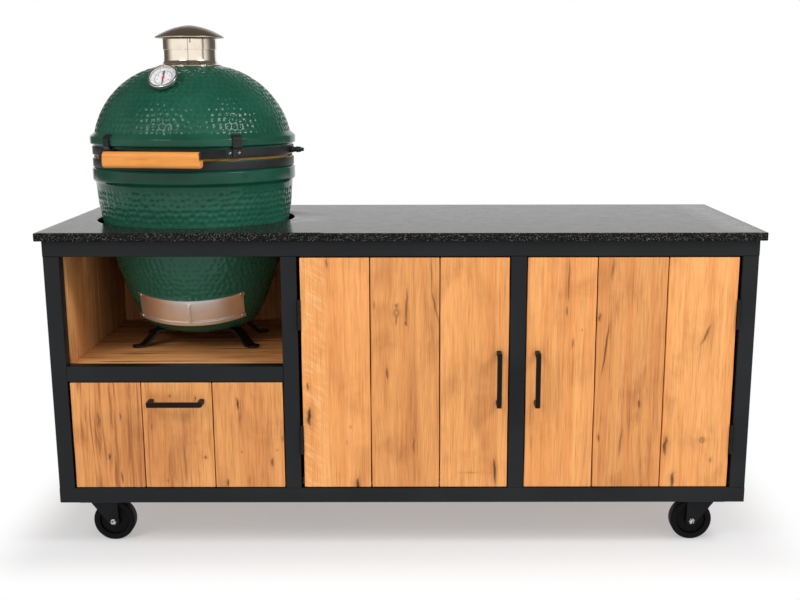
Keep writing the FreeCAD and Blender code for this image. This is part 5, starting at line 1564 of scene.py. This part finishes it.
@dataclass
class Carcass:
    """The boards inside the frame: walls, back, floors and the grill's shelf."""

    front: float = -280.0
    rear: float = 310.0
    floor: Pair = (165.0, 183.0)
    roof: float = 765.0
    shelf: Pair = (466.0, 486.0)
    shelf_step: Pair = (3.0, 7.0)
    shelf_gap: float = 2.0
    walls: tuple[tuple[float, float, bool], ...] = (
        (-864.0, -840.0, False), (-290.0, -268.0, True), (840.0, 864.0, True),
    )
    spacer: tuple[Point, Point] = ((-300.0, -280.0, 270.0), (-290.0, 220.0, 330.0))
    back: Pair = (319.0, 341.0)
    bays: tuple[Pair, ...] = ((-845.0, -299.0), (-259.0, 272.0), (312.0, 845.0))
    floors: tuple[Pair, ...] = ((-840.0, -290.0), (-268.0, 840.0))

    def piece(self, name: str, patches: list[Patch], node: str) -> None:
        """Put boards into the cabinet in place of one node."""
        Piece(name, patches, Finishes.boards, Slot.BOARD_WOOD, "cabinet", (node,)).build()

    def build(self) -> None:
        """Make the walls, the back, the floors and the shelf."""
        walls = []
        for index, (low, high, face_low) in enumerate(self.walls):
            corner, far = (low, self.front, self.floor[0]), (high, self.rear, self.roof)
            walls += board_row(corner, far, 2, Axis.Z, Axis.X, face_low, 41 + 5 * index)
        walls.append(Board(*self.spacer, Axis.Y, Axis.X, True, 58).patch())
        self.piece("side_boards", walls, "wall_boards")
        back = []
        for index, (left, right) in enumerate(self.bays):
            corner, far = (left, self.back[0], self.floor[0]), (right, self.back[1], self.roof)
            back += board_row(corner, far, 3, Axis.Z, Axis.Y, True, 61 + 5 * index)
        self.piece("rear_boards", back, "back_boards")
        floors = []
        for index, (left, right) in enumerate(self.floors):
            corner, far = (left, self.front, self.floor[0]), (right, self.rear, self.floor[1])
            floors += board_row(corner, far, 2, Axis.X, Axis.Z, False, 81 + 5 * index)
        self.piece("bottom_boards", floors, "floor_boards")
        left, right = self.floors[0]
        corner, far = (left, self.front, self.shelf[0]), (right, self.rear, self.shelf[1])
        shelf = board_row(
            corner, far, 2, Axis.X, Axis.Z, False, 95, self.shelf_gap, SHELF_SPLITS, SHELF_FIGURES,
            step=self.shelf_step,
        )
        self.piece("grill_shelf", shelf, "niche_shelf")


@dataclass
class Casters:
    """The four wheels: a hub, a dished web and a rubber tread."""

    reach: float = 765.0
    front: float = -240.0
    rear: float = 270.0
    axle: float = 54.0
    columns: int = 96
    half_section: tuple[Pair, ...] = (
        (5.3, 19.5), (15.0, 19.5), (17.0, 9.0), (36.0, 9.0), (38.5, 17.4), (47.0, 18.0), (54.0, 16.5),
    )
    eased: tuple[float, ...] = (0.6, 1.5, 2.0, 2.0, 1.2, 1.0, 5.0)

    def wheel(self, x: float, y: float) -> Patch:
        """Turn the wheel's section, with every corner eased, round its axle.

        Args:
            x: The wheel's place from left to right.
            y: Its place from front to back.

        Returns:
            The wheel.
        """
        half = np.array(self.half_section)
        section = np.vstack([half, half[::-1] * (1.0, -1.0)])
        wheel = lathe(section, [*self.eased, *self.eased[::-1]], self.columns, steps=6)
        return wheel.moved(shift(x, y, self.axle) @ spin(Axis.X, 90.0))

    def build(self) -> None:
        """Put a wheel in each fork."""
        ends, sides = (("front", self.front), ("rear", self.rear)), (("left", -1.0), ("right", 1.0))
        for (end, y), (side, way) in itertools.product(ends, sides):
            name = f"{end}_{side}"
            wheel, node = [self.wheel(way * self.reach, y)], (f"caster_wheel_{name}",)
            body = f"wheel_{name}"
            Piece(f"rolling_{body}", wheel, Finishes.rubber, Slot.WHEEL_RUBBER, body, node).build()


@dataclass
class Grill:
    """The ceramic grill: base, lid, bands, bolts, grip, chimney and thermometer."""

    at: Pair = (-560.0, 25.0)
    lid_turn: float = -8.5
    columns: int = 480
    lid_columns: int = 560
    pitch: float = 16.5
    lane: float = 0.87
    hollow: float = 2.4
    hollow_reach: float = 0.56
    hollow_depths: Pair = (0.7, 1.2)
    scatter: float = 0.2
    shell_sharp: float = 34.0
    ground: float = 530.0
    hearth: float = 555.0
    belly: Arc = Arc((156.0, 553.0), (257.0, 870.0), 1060.0)
    inner_wall: Arc = Arc((131.0, 578.0), (232.0, 870.0), 1035.0)
    dome: Arc = Arc((258.0, 1056.0), (81.0, 1225.0), 222.0)
    ceiling: Arc = Arc((233.0, 1056.0), (81.0, 1200.0), 197.0)
    base_fade: tuple[float, ...] = (530.0, 545.0, 910.0, 919.0)
    lid_fade: tuple[float, ...] = (1056.5, 1060.0, 1214.0, 1224.0)
    window_heights: Pair = (573.0, 626.5)
    window_inner: Pair = (580.0, 626.5)
    window_angles: Pair = (-42.5, -3.5)
    window_rows: int = 19
    dome_middle: Pair = (41.58, 1006.53)
    dial_seat: float = 36.0
    dial_tilt: float = 45.0
    dial_turn: float = -3.75
    dial_lift: float = 3.0
    needle_rest: float = 187.0
    grip_middle: Point = (0.0, -320.0, 999.0)
    grip_size: Point = (250.0, 30.0, 39.5)
    grip_round: float = 11.0
    grip_end: float = 4.5
    band_walls: Pair = (262.2, 266.0)
    base_band: Pair = (968.5, 988.5)
    lid_band: Pair = (1000.0, 1020.0)
    bolts: tuple[Pair, ...] = ((-30.4, 269.0), (37.6, 269.0), (-35.5, 272.0), (42.7, 272.0))
    bolt_height: float = 1010.0
    bolt_radius: float = 5.4
    bolt_head: float = 4.8
    clamp_angle: float = 88.5
    flue_columns: int = 160
    cap_tabs: tuple[float, ...] = (60.0, 180.0, 300.0)
    dial_columns: int = 96
    dial_radius: float = 35.2

    @property
    def stand(self) -> Array:
        """The frame of the base, on the grill's own axis."""
        return shift(self.at[0], self.at[1], 0.0)

    @property
    def lid_frame(self) -> Array:
        """The frame of the lid, turned a little to the left."""
        return self.stand @ spin(Axis.Z, self.lid_turn)

    @property
    def dial_frame(self) -> Array:
        """The thermometer's frame: off the dome's arc at its seat, leaning back from upright by its tilt.

        Returns:
            The frame as a 4 by 4 matrix, with its Z axis out of the dial.
        """
        seat = math.radians(self.dial_seat)
        reach = self.dome_middle[0] + self.dome.bend * math.sin(seat)
        height = self.dome_middle[1] + self.dome.bend * math.cos(seat)
        place = self.lid_frame @ spin(Axis.Z, self.dial_turn) @ shift(0.0, -reach, height)
        return place @ spin(Axis.X, self.dial_tilt) @ shift(0.0, 0.0, self.dial_lift)

    def radial(self, angle: float, reach: float, height: float) -> Array:
        """A frame on the lid whose Z axis points outwards at an angle from the lid's front."""
        return self.lid_frame @ spin(Axis.Z, angle) @ shift(0.0, -reach, height) @ spin(Axis.X, 90.0)

    def hammer(self, patch: Patch, profile: Array, share: Array, seed: int) -> None:
        """Press round hollows into a turned wall, close together like hammered work.

        The hollows stand a pitch apart round the turn, in lanes a share of a pitch apart, each a little off
        its place. A point sinks against the profile's outward normal by the depth, times half of one plus the
        cosine of its distance from the nearest hollow's middle, where the hollow's radius is half a turn. No
        two hollows are equally deep.

        Args:
            patch: The turned wall, still on its own axis.
            profile: Radius and height of its rows.
            share: How deep the hollows of each row are, from 0 to 1.
            seed: The seed of the scatter.
        """
        source = np.random.default_rng(seed)
        slope = np.gradient(profile, axis=0)
        normal = np.column_stack([slope[:, 1], -slope[:, 0]]) / np.linalg.norm(slope, axis=1, keepdims=True)
        travel = travelled(profile)
        height = self.lane * self.pitch
        lanes = np.arange(int(travel[-1] / height) + 3)
        girths = np.interp(lanes * height, travel, profile[:, 0]) * FULL_TURN
        counts = np.maximum(np.round(girths / self.pitch), 1.0)
        phases = source.uniform(0.0, 1.0, len(lanes))
        scatter = source.uniform(-self.scatter, self.scatter, (len(lanes), int(counts.max()), 2))
        depths = source.uniform(*self.hollow_depths, scatter.shape[:2])
        columns = patch.points.shape[1]
        round_ = np.arange(columns)[None] / columns
        nearest = np.full(patch.points.shape[:2], np.inf)
        depth = np.zeros_like(nearest)
        for lane_step, cell_step in itertools.product((-1, 0, 1), repeat=2):
            lane = np.clip(np.round(travel / height).astype(int) + lane_step, 0, len(lanes) - 1)[:, None]
            place = round_ * counts[lane] - phases[lane]
            cell = np.round(place) + cell_step
            number = (cell % counts[lane]).astype(int)
            moved = scatter[lane, number]
            aside = (place - cell - moved[..., 0]) * FULL_TURN * profile[:, :1] / counts[lane]
            above = travel[:, None] - (lane + moved[..., 1]) * height
            apart = aside**2 + above**2
            depth = np.where(apart < nearest, depths[lane, number], depth)
            nearest = np.minimum(nearest, apart)
        away = np.minimum(np.sqrt(nearest) / (self.hollow_reach * self.pitch), 1.0)
        bowl = 0.5 + 0.5 * np.cos(math.pi * away)
        sink = self.hollow * share[:, None] * bowl * depth
        outward = around(normal[:, :1], (round_ - 0.5) * FULL_TURN, normal[:, 1:])
        patch.points -= sink[..., None] * outward
        patch.marks["ridge"] = share[:, None] * (1.0 - bowl)

    def base(self) -> None:
        """Turn the base's wall: foot, belly, flange and rim outside, then back inside, with the window."""
        low, high = self.window_heights
        inner_low, inner_high = self.window_inner
        count, ground, hearth, top = self.window_rows, self.ground, self.hearth, self.belly.end[1]
        foot = np.array([(0.4, ground), (40.0, ground), (80.0, ground)])
        toe = fillet([(80.0, ground), (124.0, ground), self.belly.start], [1.0, 60.0, 1.0], False, 9)[1:-1]
        below = np.linspace(self.belly.start[1], low, 8)[:-1]
        heights = np.concatenate([below, np.linspace(low, high, count), np.linspace(high, top, 82)[1:]])
        neck = np.linspace(self.belly.end, (261.0, 920.7), 17)[1:]
        belly = np.vstack([self.belly.at(heights), neck])
        flange = [self.belly.end, (261.5, 927.0), (268.5, 935.0), (268.5, 963.0), (262.0, 967.0)]
        edge = [(262.0, 991.5), (237.0, 991.5), self.inner_wall.end]
        rim = fillet(flange + edge, [1.0, 8.0, 5.0, 4.0, 1.5, 2.5, 2.5, 1.0], False, 6)[1:-1]
        above = np.linspace(top, inner_high, 12)[:-1]
        down = np.concatenate([above, np.linspace(inner_high, inner_low, count)])
        inside = self.inner_wall.at(down)
        floor = np.array([self.inner_wall.start, (112.0, hearth), (60.0, hearth), (0.4, hearth)])
        profile = np.vstack([foot, toe, belly, rim, inside, floor])
        patch = revolve(profile, self.columns, False)
        first = len(foot) + len(toe) + len(below)
        outside = len(foot) + len(toe) + len(belly)
        inner_first = outside + len(rim) + len(above)
        left, right = (round((angle / 360.0 + 0.5) * self.columns) for angle in self.window_angles)
        patch.window = (first, first + count - 1, inner_first, left, right)
        share = np.zeros(len(profile))
        share[:outside] = np.interp(profile[:outside, 1], self.base_fade, (0.0, 1.0, 1.0, 0.0))
        self.hammer(patch, profile, share, 71)
        inner = (np.arange(len(profile)) >= outside) & (profile[:, 0] < 240.0)
        patch.marks["inside"] = np.repeat(inner[:, None], self.columns, axis=1).astype(float)
        patch.moved(self.stand)
        body, node = "cabinet", ("kamado_base",)
        Piece("base_shell", [patch], Finishes.glaze, Slot.GREEN_GLAZE, body, node, self.shell_sharp).build()

    def lid(self) -> None:
        """Turn the lid's wall: rim, flange, dome and neck outside, then back inside."""
        rim = [(237.0, 996.8), (262.0, 996.8), (262.0, 1025.0), (271.0, 1027.0), (271.0, 1046.0)]
        flange = fillet([*rim, self.dome.start], [1.0, 2.5, 1.5, 4.0, 7.0, 1.0], False, 7)
        dome = self.dome.even(89)[1:]
        pipe = [(65.0, 1227.0), (65.0, 1243.0), (52.0, 1243.0), (52.0, 1200.0)]
        neck = fillet([self.dome.end, *pipe, self.ceiling.end], [1.0] * 6, False, 4)[1:]
        inside = self.ceiling.even(24)[-2::-1]
        profile = np.vstack([flange, dome, neck, inside])
        patch = revolve(profile, self.lid_columns, True)
        share = np.zeros(len(profile))
        reach = slice(len(flange), len(flange) + len(dome))
        share[reach] = np.interp(profile[reach, 1], self.lid_fade, (0.0, 1.0, 1.0, 0.0))
        self.hammer(patch, profile, share, 72)
        inner = np.arange(len(profile)) >= reach.stop
        inner[0] = True
        patch.marks["inside"] = np.repeat(inner[:, None], self.lid_columns, axis=1).astype(float)
        patch.moved(self.lid_frame)
        body, node = "lid", ("kamado_lid",)
        Piece("lid_shell", [patch], Finishes.glaze, Slot.GREEN_GLAZE, body, node, self.shell_sharp).build()

    def band(self, heights: Pair) -> Patch:
        """A flat steel hoop with eased edges."""
        (inner, outer), (low, high) = self.band_walls, heights
        return lathe([(inner, low), (outer, low), (outer, high), (inner, high)], [0.4, 1.1, 1.1, 0.4], 240)

    def stud(self, angle: float, reach: float) -> Patch:
        """A domed bolt head that points outwards on the lid's band.

        Args:
            angle: Degrees from the lid's front.
            reach: Its foot's distance from the axis.

        Returns:
            The bolt head.
        """
        radius, head = self.bolt_radius, self.bolt_head
        rise = np.linspace(0.0, QUARTER_TURN, 8)
        dome = np.column_stack([radius * np.cos(rise), head * 0.35 + head * 0.65 * np.sin(rise)])
        dome[-1, 0] = 0.25
        profile = np.vstack([[(0.25, -2.0), (radius, -2.0)], dome])
        return revolve(profile, 28, False).moved(self.radial(angle, reach, self.bolt_height))

    def bands(self) -> None:
        """Put the hoops round the rims, the clamp screw on the lid's hoop and the bolts through it."""
        base = self.band(self.base_band).moved(self.stand)
        Piece("base_hoop", [base], Finishes.band, Slot.BAND_STEEL, "cabinet", ("base_band",), CRISP).build()
        barrel = [(0.3, 0.0), (7.9, 0.0), (7.9, 10.0), (6.6, 12.0), (6.6, 17.0), (7.9, 19.0), (7.0, 29.0)]
        tip = [(4.8, 31.5), (4.8, 37.0), (3.0, 38.0), (0.3, 38.0)]
        place = self.radial(self.clamp_angle, self.band_walls[1], self.bolt_height)
        screw = lathe(barrel + tip, [0.5] * 11, 36, False, 4).moved(place)
        hoop = self.band(self.lid_band).moved(self.lid_frame)
        Piece("lid_hoop", [hoop, screw], Finishes.band, Slot.BAND_STEEL, "lid", ("lid_band",), CRISP).build()
        studs = [self.stud(angle, reach) for angle, reach in self.bolts]
        Piece("hoop_bolts", studs, Finishes.bolts, Slot.BAND_STEEL, "lid", ("lid_bolts",)).build()

    def grip(self) -> None:
        """The wooden grip: a rounded section carried along it, drawn in at both ends on a quarter circle."""
        wide, deep, tall = self.grip_size
        r, e = self.grip_round, self.grip_end
        turn = np.linspace(0.0, FULL_TURN, 57)[:-1] + 0.5 * QUARTER_TURN
        direction = np.column_stack([np.cos(turn), np.sin(turn)])
        centre = np.sign(np.round(direction, 6)) * (deep / 2.0 - r, tall / 2.0 - r)
        rise = np.linspace(0.0, QUARTER_TURN, 9)
        near = e * (1.0 - np.cos(rise))
        places = np.concatenate([near, np.linspace(e, wide - e, 50)[1:-1], wide - near[::-1]])
        radius = r - e + e * np.concatenate([np.sin(rise), np.ones(48), np.sin(rise[::-1])])
        spot = centre[None] + direction[None] * radius[:, None, None]
        along = np.broadcast_to(places[:, None] - wide / 2.0, spot.shape[:2])
        points = np.stack([along, spot[..., 0], spot[..., 1]], axis=-1) + np.array(self.grip_middle)
        plane = flat_grid(np.linspace(0.0, 0.13, 57), places * MILLIMETRE)
        marks = {"board": np.full(spot.shape[:2], 0.37)}
        patch = Patch(points, plane, marks=marks).moved(self.lid_frame)
        Piece("grip_bar", [patch], Finishes.grip, Slot.GRIP_WOOD, "lid", ("handle_grip",)).build()

    def chimney(self) -> None:
        """The tube on the neck, the turning sleeve over it and the domed rain cap."""
        columns, body = self.flue_columns, "chimney_cap"
        flare = [self.dome.end, (83.0, 1225.0), (83.0, 1226.5), (74.0, 1230.5), (69.2, 1238.0)]
        tube = [(68.5, 1247.0), (68.5, 1281.0), (66.5, 1281.0), (66.5, 1227.0)]
        pipe = lathe(flare + tube, [0.4, 0.4, 0.8, 8.0, 8.0, 8.0, 0.5, 0.5, 2.0], columns)
        pipe.moved(self.lid_frame)
        Piece("flue_pipe", [pipe], Finishes.chimney, Slot.STAINLESS, "lid", ("chimney",)).build()
        wall = [(68.9, 1266.0), (70.4, 1266.0), (70.4, 1293.0), (68.9, 1293.0)]
        collar = lathe(wall, [0.3, 0.5, 0.5, 0.3], columns).moved(self.lid_frame)
        Piece("flue_sleeve", [collar], Finishes.sleeve, Slot.STAINLESS, body, ("chimney_sleeve",)).build()
        share = np.linspace(0.0, 1.0, 26)
        outer = self.cap_arc(share, 90.0, 1299.0, 1329.0, 197.0)
        brim = [(88.0, 1300.2), (90.0, 1299.0), (90.0, 1296.2), (88.2, 1296.0), (88.0, 1298.0)]
        lip = fillet(brim, [0.8] * 5, False, 5)[1:-1]
        inner = self.cap_arc(share[::-1], 88.0, 1298.0, 1327.0, 195.0)
        hat = revolve(np.vstack([outer[:-1], lip, inner[1:]]), columns, False)
        section = np.array([(66.9, 1285.0), (68.8, 1285.0), (68.8, 1309.4), (66.9, 1309.4)])
        tabs = [self.tab(section, angle) for angle in self.cap_tabs]
        patches = [patch.moved(self.lid_frame) for patch in (hat, *tabs)]
        Piece("flue_cap", patches, Finishes.cap, Slot.STAINLESS, body, ("rain_cap",)).build()

    @staticmethod
    def cap_arc(share: Array, radius: float, low: float, high: float, bend: float) -> Array:
        """Points from the cap's top to its brim on an arc.

        Each lies on the straight line from top to brim, moved square to it by the root of the bend squared
        less its distance from the line's middle squared, less what that root is at the ends.

        Args:
            share: How far along the line each point is.
            radius: The brim's radius.
            low: The brim's height.
            high: The top's height.
            bend: The arc's radius.

        Returns:
            Radius and height of each point.
        """
        start, end = np.array([0.3, high]), np.array([radius, low])
        chord = end - start
        long = np.linalg.norm(chord)
        away = (share - 0.5) * long
        rise = np.sqrt(bend**2 - away**2) - math.sqrt(bend**2 - long**2 / 4.0)
        aside = np.array([-chord[1], chord[0]]) / long
        return start + chord * share[:, None] + aside * rise[:, None]

    @staticmethod
    def tab(section: Array, angle: float) -> Patch:
        """A short upright tab under the cap: its section carried over twelve degrees of the turn."""
        turn = np.radians(angle + np.linspace(-6.0, 6.0, 7))[:, None]
        return Patch(around(section[None, :, 0], turn, section[None, :, 1]), np.zeros((7, 5, 2)))

    def thermometer(self) -> None:
        """The case with its stem, the enamel dial, the glass and the hand with its hub."""
        place, columns, edge = self.dial_frame, self.dial_columns, self.dial_radius
        bowl = [(0.3, -60.0), (4.0, -60.0), (4.0, 3.0), (32.5, 3.0), (39.0, 6.0), (39.0, 16.0)]
        bezel = [(37.6, 17.0), (34.2, 17.0), (34.0, 15.0), (35.5, 15.0), (35.5, 8.5), (0.3, 8.5)]
        eased = [0.5, 0.8, 0.8, 2.0, 2.5, 2.0, 1.2, 0.8, 0.3, 0.3, 0.3, 0.5]
        case = lathe(bowl + bezel, eased, columns, False)
        plate = [(1.6, 8.55), (12.0, 8.55), (edge, 8.55), (edge, 9.5), (20.0, 9.5), (1.6, 9.5)]
        disc = revolve(np.array(plate), columns, True)
        disc.plane = looped(disc.points)
        glass = [(0.3, 13.0), (20.0, 13.0), (edge, 13.0), (edge, 15.0), (20.0, 15.0), (0.3, 15.0)]
        pane = revolve(np.array(glass), columns, False)
        for name, patch, finish, slot, node in (
            ("dial_case", case, Finishes.stainless, Slot.STAINLESS, "thermometer_case"),
            ("dial_plate", disc, Finishes.dial, Slot.DIAL_WHITE, "thermometer_dial"),
            ("dial_pane", pane, Finishes.glass, Slot.DIAL_GLASS, "thermometer_glass"),
        ):
            Piece(name, [patch.moved(place)], finish, slot, "lid", (node,), CRISP).build()
        along = np.array([-22.0, -21.4, -18.0, -6.0, -1.0, 1.0, 8.0, 20.0, 26.6, 27.0])
        half = np.array([1.0, 1.6, 1.8, 1.5, 1.3, 1.3, 1.25, 1.0, 0.35, 0.12])
        rim = np.array([(-1.0, 11.05), (1.0, 11.05), (1.0, 11.75), (-1.0, 11.75)])
        spots = np.broadcast_arrays(half[:, None] * rim[None, :, 0], along[:, None], rim[None, :, 1])
        hand = Patch(np.stack(spots, axis=-1), np.zeros((10, 5, 2)), marks={"hub": np.zeros((10, 4))})
        boss = [(0.3, 8.7), (1.45, 8.7), (1.45, 10.2), (3.9, 10.2), (3.9, 11.8), (0.3, 12.2)]
        hub = lathe(boss, [0.2, 0.2, 0.2, 0.3, 0.5, 0.2], 32, False, 4)
        hub.marks["hub"] = np.ones(hub.points.shape[:2])
        turned = place @ spin(Axis.Z, self.needle_rest)
        pointer, node = [hand.moved(turned), hub.moved(turned)], ("thermometer_needle",)
        Piece("dial_hand", pointer, Finishes.needle, Slot.NEEDLE_BLACK, "needle", node, CRISP).build()

    def build(self) -> None:
        """Make every piece of the grill that isn't carried over."""
        self.base()
        self.lid()
        self.bands()
        self.grip()
        self.chimney()
        self.thermometer()


@dataclass
class CarriedOver:
    """The construction's own solids that stay as they are, and the finish of each."""

    dressed: tuple[tuple[Finish, tuple[str, ...]], ...] = (
        (Finishes.frame, ("frame_posts", "frame_rails", "frame_plates")),
        (Finishes.hinge, ("hinge_post_leaves", "left_door_leaves", "right_door_leaves")),
        (Finishes.catch, ("magnet_catches",)),
        (Finishes.runner, ("runner_outers", "runner_inners", "runner_middles")),
        (Finishes.caster, ("caster_top_plates", "caster_fork_front_left", "caster_fork_front_right")),
        (Finishes.caster, ("caster_fork_rear_left", "caster_fork_rear_right")),
        (Finishes.zinc, ("caster_bolts",)),
        (Finishes.battens, ("left_door_battens", "right_door_battens")),
        (Finishes.drawer, ("drawer_box",)),
        (Finishes.draft, ("draft_frame", "draft_door")),
        (Finishes.screws, ("draft_screws",)),
        (Finishes.clay, ("fire_box", "fire_ring")),
        (Finishes.iron, ("fire_grate",)),
        (Finishes.grid, ("cooking_grid",)),
        (Finishes.feet, ("kamado_feet",)),
        (Finishes.felt, ("base_gasket", "lid_gasket")),
        (Finishes.band, ("handle_brackets", "lid_hinge_bracket", "lid_hinge_arm")),
    )

    def dress(self, node: str, finish: Finish) -> None:
        """Give one solid its finish.

        Args:
            node: The solid's name.
            finish: Its finish.
        """
        made = frame["nodes"][node]
        made.data.materials.clear()
        made.data.materials.append(finish.material)
        log.info("%s: %s", node, finish.name)

    def build(self) -> None:
        """Dress every solid that stays."""
        for finish, nodes in self.dressed:
            for node in nodes:
                self.dress(node, finish)


@dataclass
class Studio:
    """The pale floor, the soft light and the camera."""

    camera_at: Point = (0.048, -3.339, 1.190)
    camera_tilt: float = 76.255
    camera_roll: float = -0.0013
    lens: float = 55.33
    sensor: float = 36.0
    frame_shift: Pair = (-0.0256, 0.1)
    key_at: Point = (2.26, -1.6, 2.85)
    key_power: float = 61.0
    key_size: float = 1.1
    fill_at: Point = (-2.0, -2.85, 2.85)
    fill_power: float = 37.0
    fill_size: float = 1.1
    aim: Point = (-0.1, -0.1, 0.6)
    front_light: float = 0.82
    back_light: float = 0.28
    bar_at: float = 67.5
    bar_half: float = 4.0
    shadow_lift: float = 0.37
    shadow_reach: float = 0.22
    kitchen_half: Pair = (0.9, 0.36)
    room_dim: Colour = (0.13, 0.115, 0.1)
    room_bright: Colour = (1.15, 1.1, 1.03)
    floor_half: float = 9.0
    floor_tone: Colour = tone(236, 236, 237)
    floor_cloud: Colour = tone(230, 230, 231)

    def camera(self) -> None:
        """Stand the camera where the picture was taken from."""
        data = bpy.data.cameras.new("picture_camera")
        data.sensor_width = self.sensor
        data.lens = self.lens
        data.shift_x, data.shift_y = self.frame_shift
        made = placed("picture_camera", data)
        tilt = Matrix.Rotation(math.radians(self.camera_tilt), 4, "X")
        roll = Matrix.Rotation(self.camera_roll, 4, "Z")
        made.matrix_world = Matrix.Translation(self.camera_at) @ tilt @ roll
        bpy.context.scene.camera = made

    def lamp(self, name: str, at: Point, power: float, size: float) -> None:
        """Hang a square soft light that looks at the kitchen and isn't seen itself.

        Args:
            name: The lamp's name.
            at: Its place.
            power: Its power in watts.
            size: The length of its sides.
        """
        data = bpy.data.lights.new(name, "AREA")
        data.energy = power
        data.size = size
        made = placed(name, data)
        made.location = at
        made.rotation_euler = (Vector(self.aim) - Vector(at)).to_track_quat("-Z", "Y").to_euler()
        made.visible_camera = False

    def world(self) -> None:
        """Soft light for dull surfaces, white for the camera, and a room for glossy ones.

        More of the soft light comes from the front. The room is white behind the kitchen and in a wide band
        in front of it, both near the horizon, with a dark upright bar to the right, and dim at the sides and
        overhead.
        """
        world = bpy.data.worlds.new("studio")
        bpy.context.scene.world = world
        shader = Shader(world, "ShaderNodeOutputWorld")
        x, y, z = shader.split(shader.node("ShaderNodeTexCoord", output="Generated"))
        level = abs(z).smooth(0.62, 0.28)
        turn = shader.math("ARCTAN2", x, y * -1.0) * (180.0 / math.pi)
        bar = abs(turn - self.bar_at).smooth(self.bar_half + 1.0, self.bar_half - 1.0)
        front = y.smooth(0.35, -0.4) * level * (1.0 - bar)
        back = y.smooth(0.82, 0.9) * level
        room = shader.mix(front, self.room_dim, self.room_bright)
        room = shader.mix(back, room, WHITE)
        path = shader.node("ShaderNodeLightPath", output="Is Camera Ray")
        mirrored = path.other("Is Glossy Ray").most(path.other("Is Transmission Ray"))
        soft = shader.mix(y.smooth(0.6, -0.6), (self.back_light,) * 3, (self.front_light,) * 3)
        light = shader.mix(mirrored, soft, room)
        light = shader.mix(path, light, WHITE)
        shader.close(shader.node("ShaderNodeBackground", None, {"Color": light}))

    def floor(self) -> None:
        """A pale floor that keeps the shadow near the kitchen and turns white further off."""
        half = self.floor_half
        mesh = bpy.data.meshes.new("studio_floor")
        corners = [(-half, -half, 0), (half, -half, 0), (half, half, 0), (-half, half, 0)]
        mesh.from_pydata(corners, [], [(0, 1, 2, 3)])
        made = placed("studio_floor", mesh)
        material = bpy.data.materials.new("studio_floor")
        shader = Shader(material, "ShaderNodeOutputMaterial")
        place = shader.position()
        x, y, _ = shader.split(place)
        aside = (abs(x) - self.kitchen_half[0]).most(0.0)
        ahead = (abs(y) - self.kitchen_half[1]).most(0.0)
        away = ((aside * aside + ahead * ahead) ** 0.5).smooth(0.0, self.shadow_reach)
        path = shader.node("ShaderNodeLightPath", output="Is Camera Ray")
        seen = path.most(path.other("Is Glossy Ray")).most(path.other("Is Transmission Ray"))
        cloud = shader.noise(place, 3.0, 3.0)
        dull = shader.surface({
            "Base Color": shader.mix(cloud * 0.3, self.floor_tone, self.floor_cloud),
            "Roughness": 0.7 + cloud * 0.2,
        })
        white = shader.node("ShaderNodeEmission", None, {"Color": WHITE})
        lifted = (self.shadow_lift + away * (1.0 - self.shadow_lift)) * seen
        shader.close(shader.node("ShaderNodeMixShader", None, {0: lifted, 1: dull, 2: white}))
        mesh.materials.append(material)

    def build(self) -> None:
        """Set up the whole studio."""
        bpy.context.scene.view_settings.view_transform = "Standard"
        self.camera()
        self.lamp("key_light", self.key_at, self.key_power, self.key_size)
        self.lamp("fill_light", self.fill_at, self.fill_power, self.fill_size)
        self.world()
        self.floor()


def main() -> None:
    """Dress the kitchen and set up the picture."""
    logging.basicConfig(level=logging.INFO, format="%(name)s: %(message)s")
    CarriedOver().build()
    Worktop().build()
    Carcass().build()
    for front in FRONTS:
        front.build()
    Casters().build()
    Grill().build()
    Studio().build()


if __name__ == "__main__":
    main()
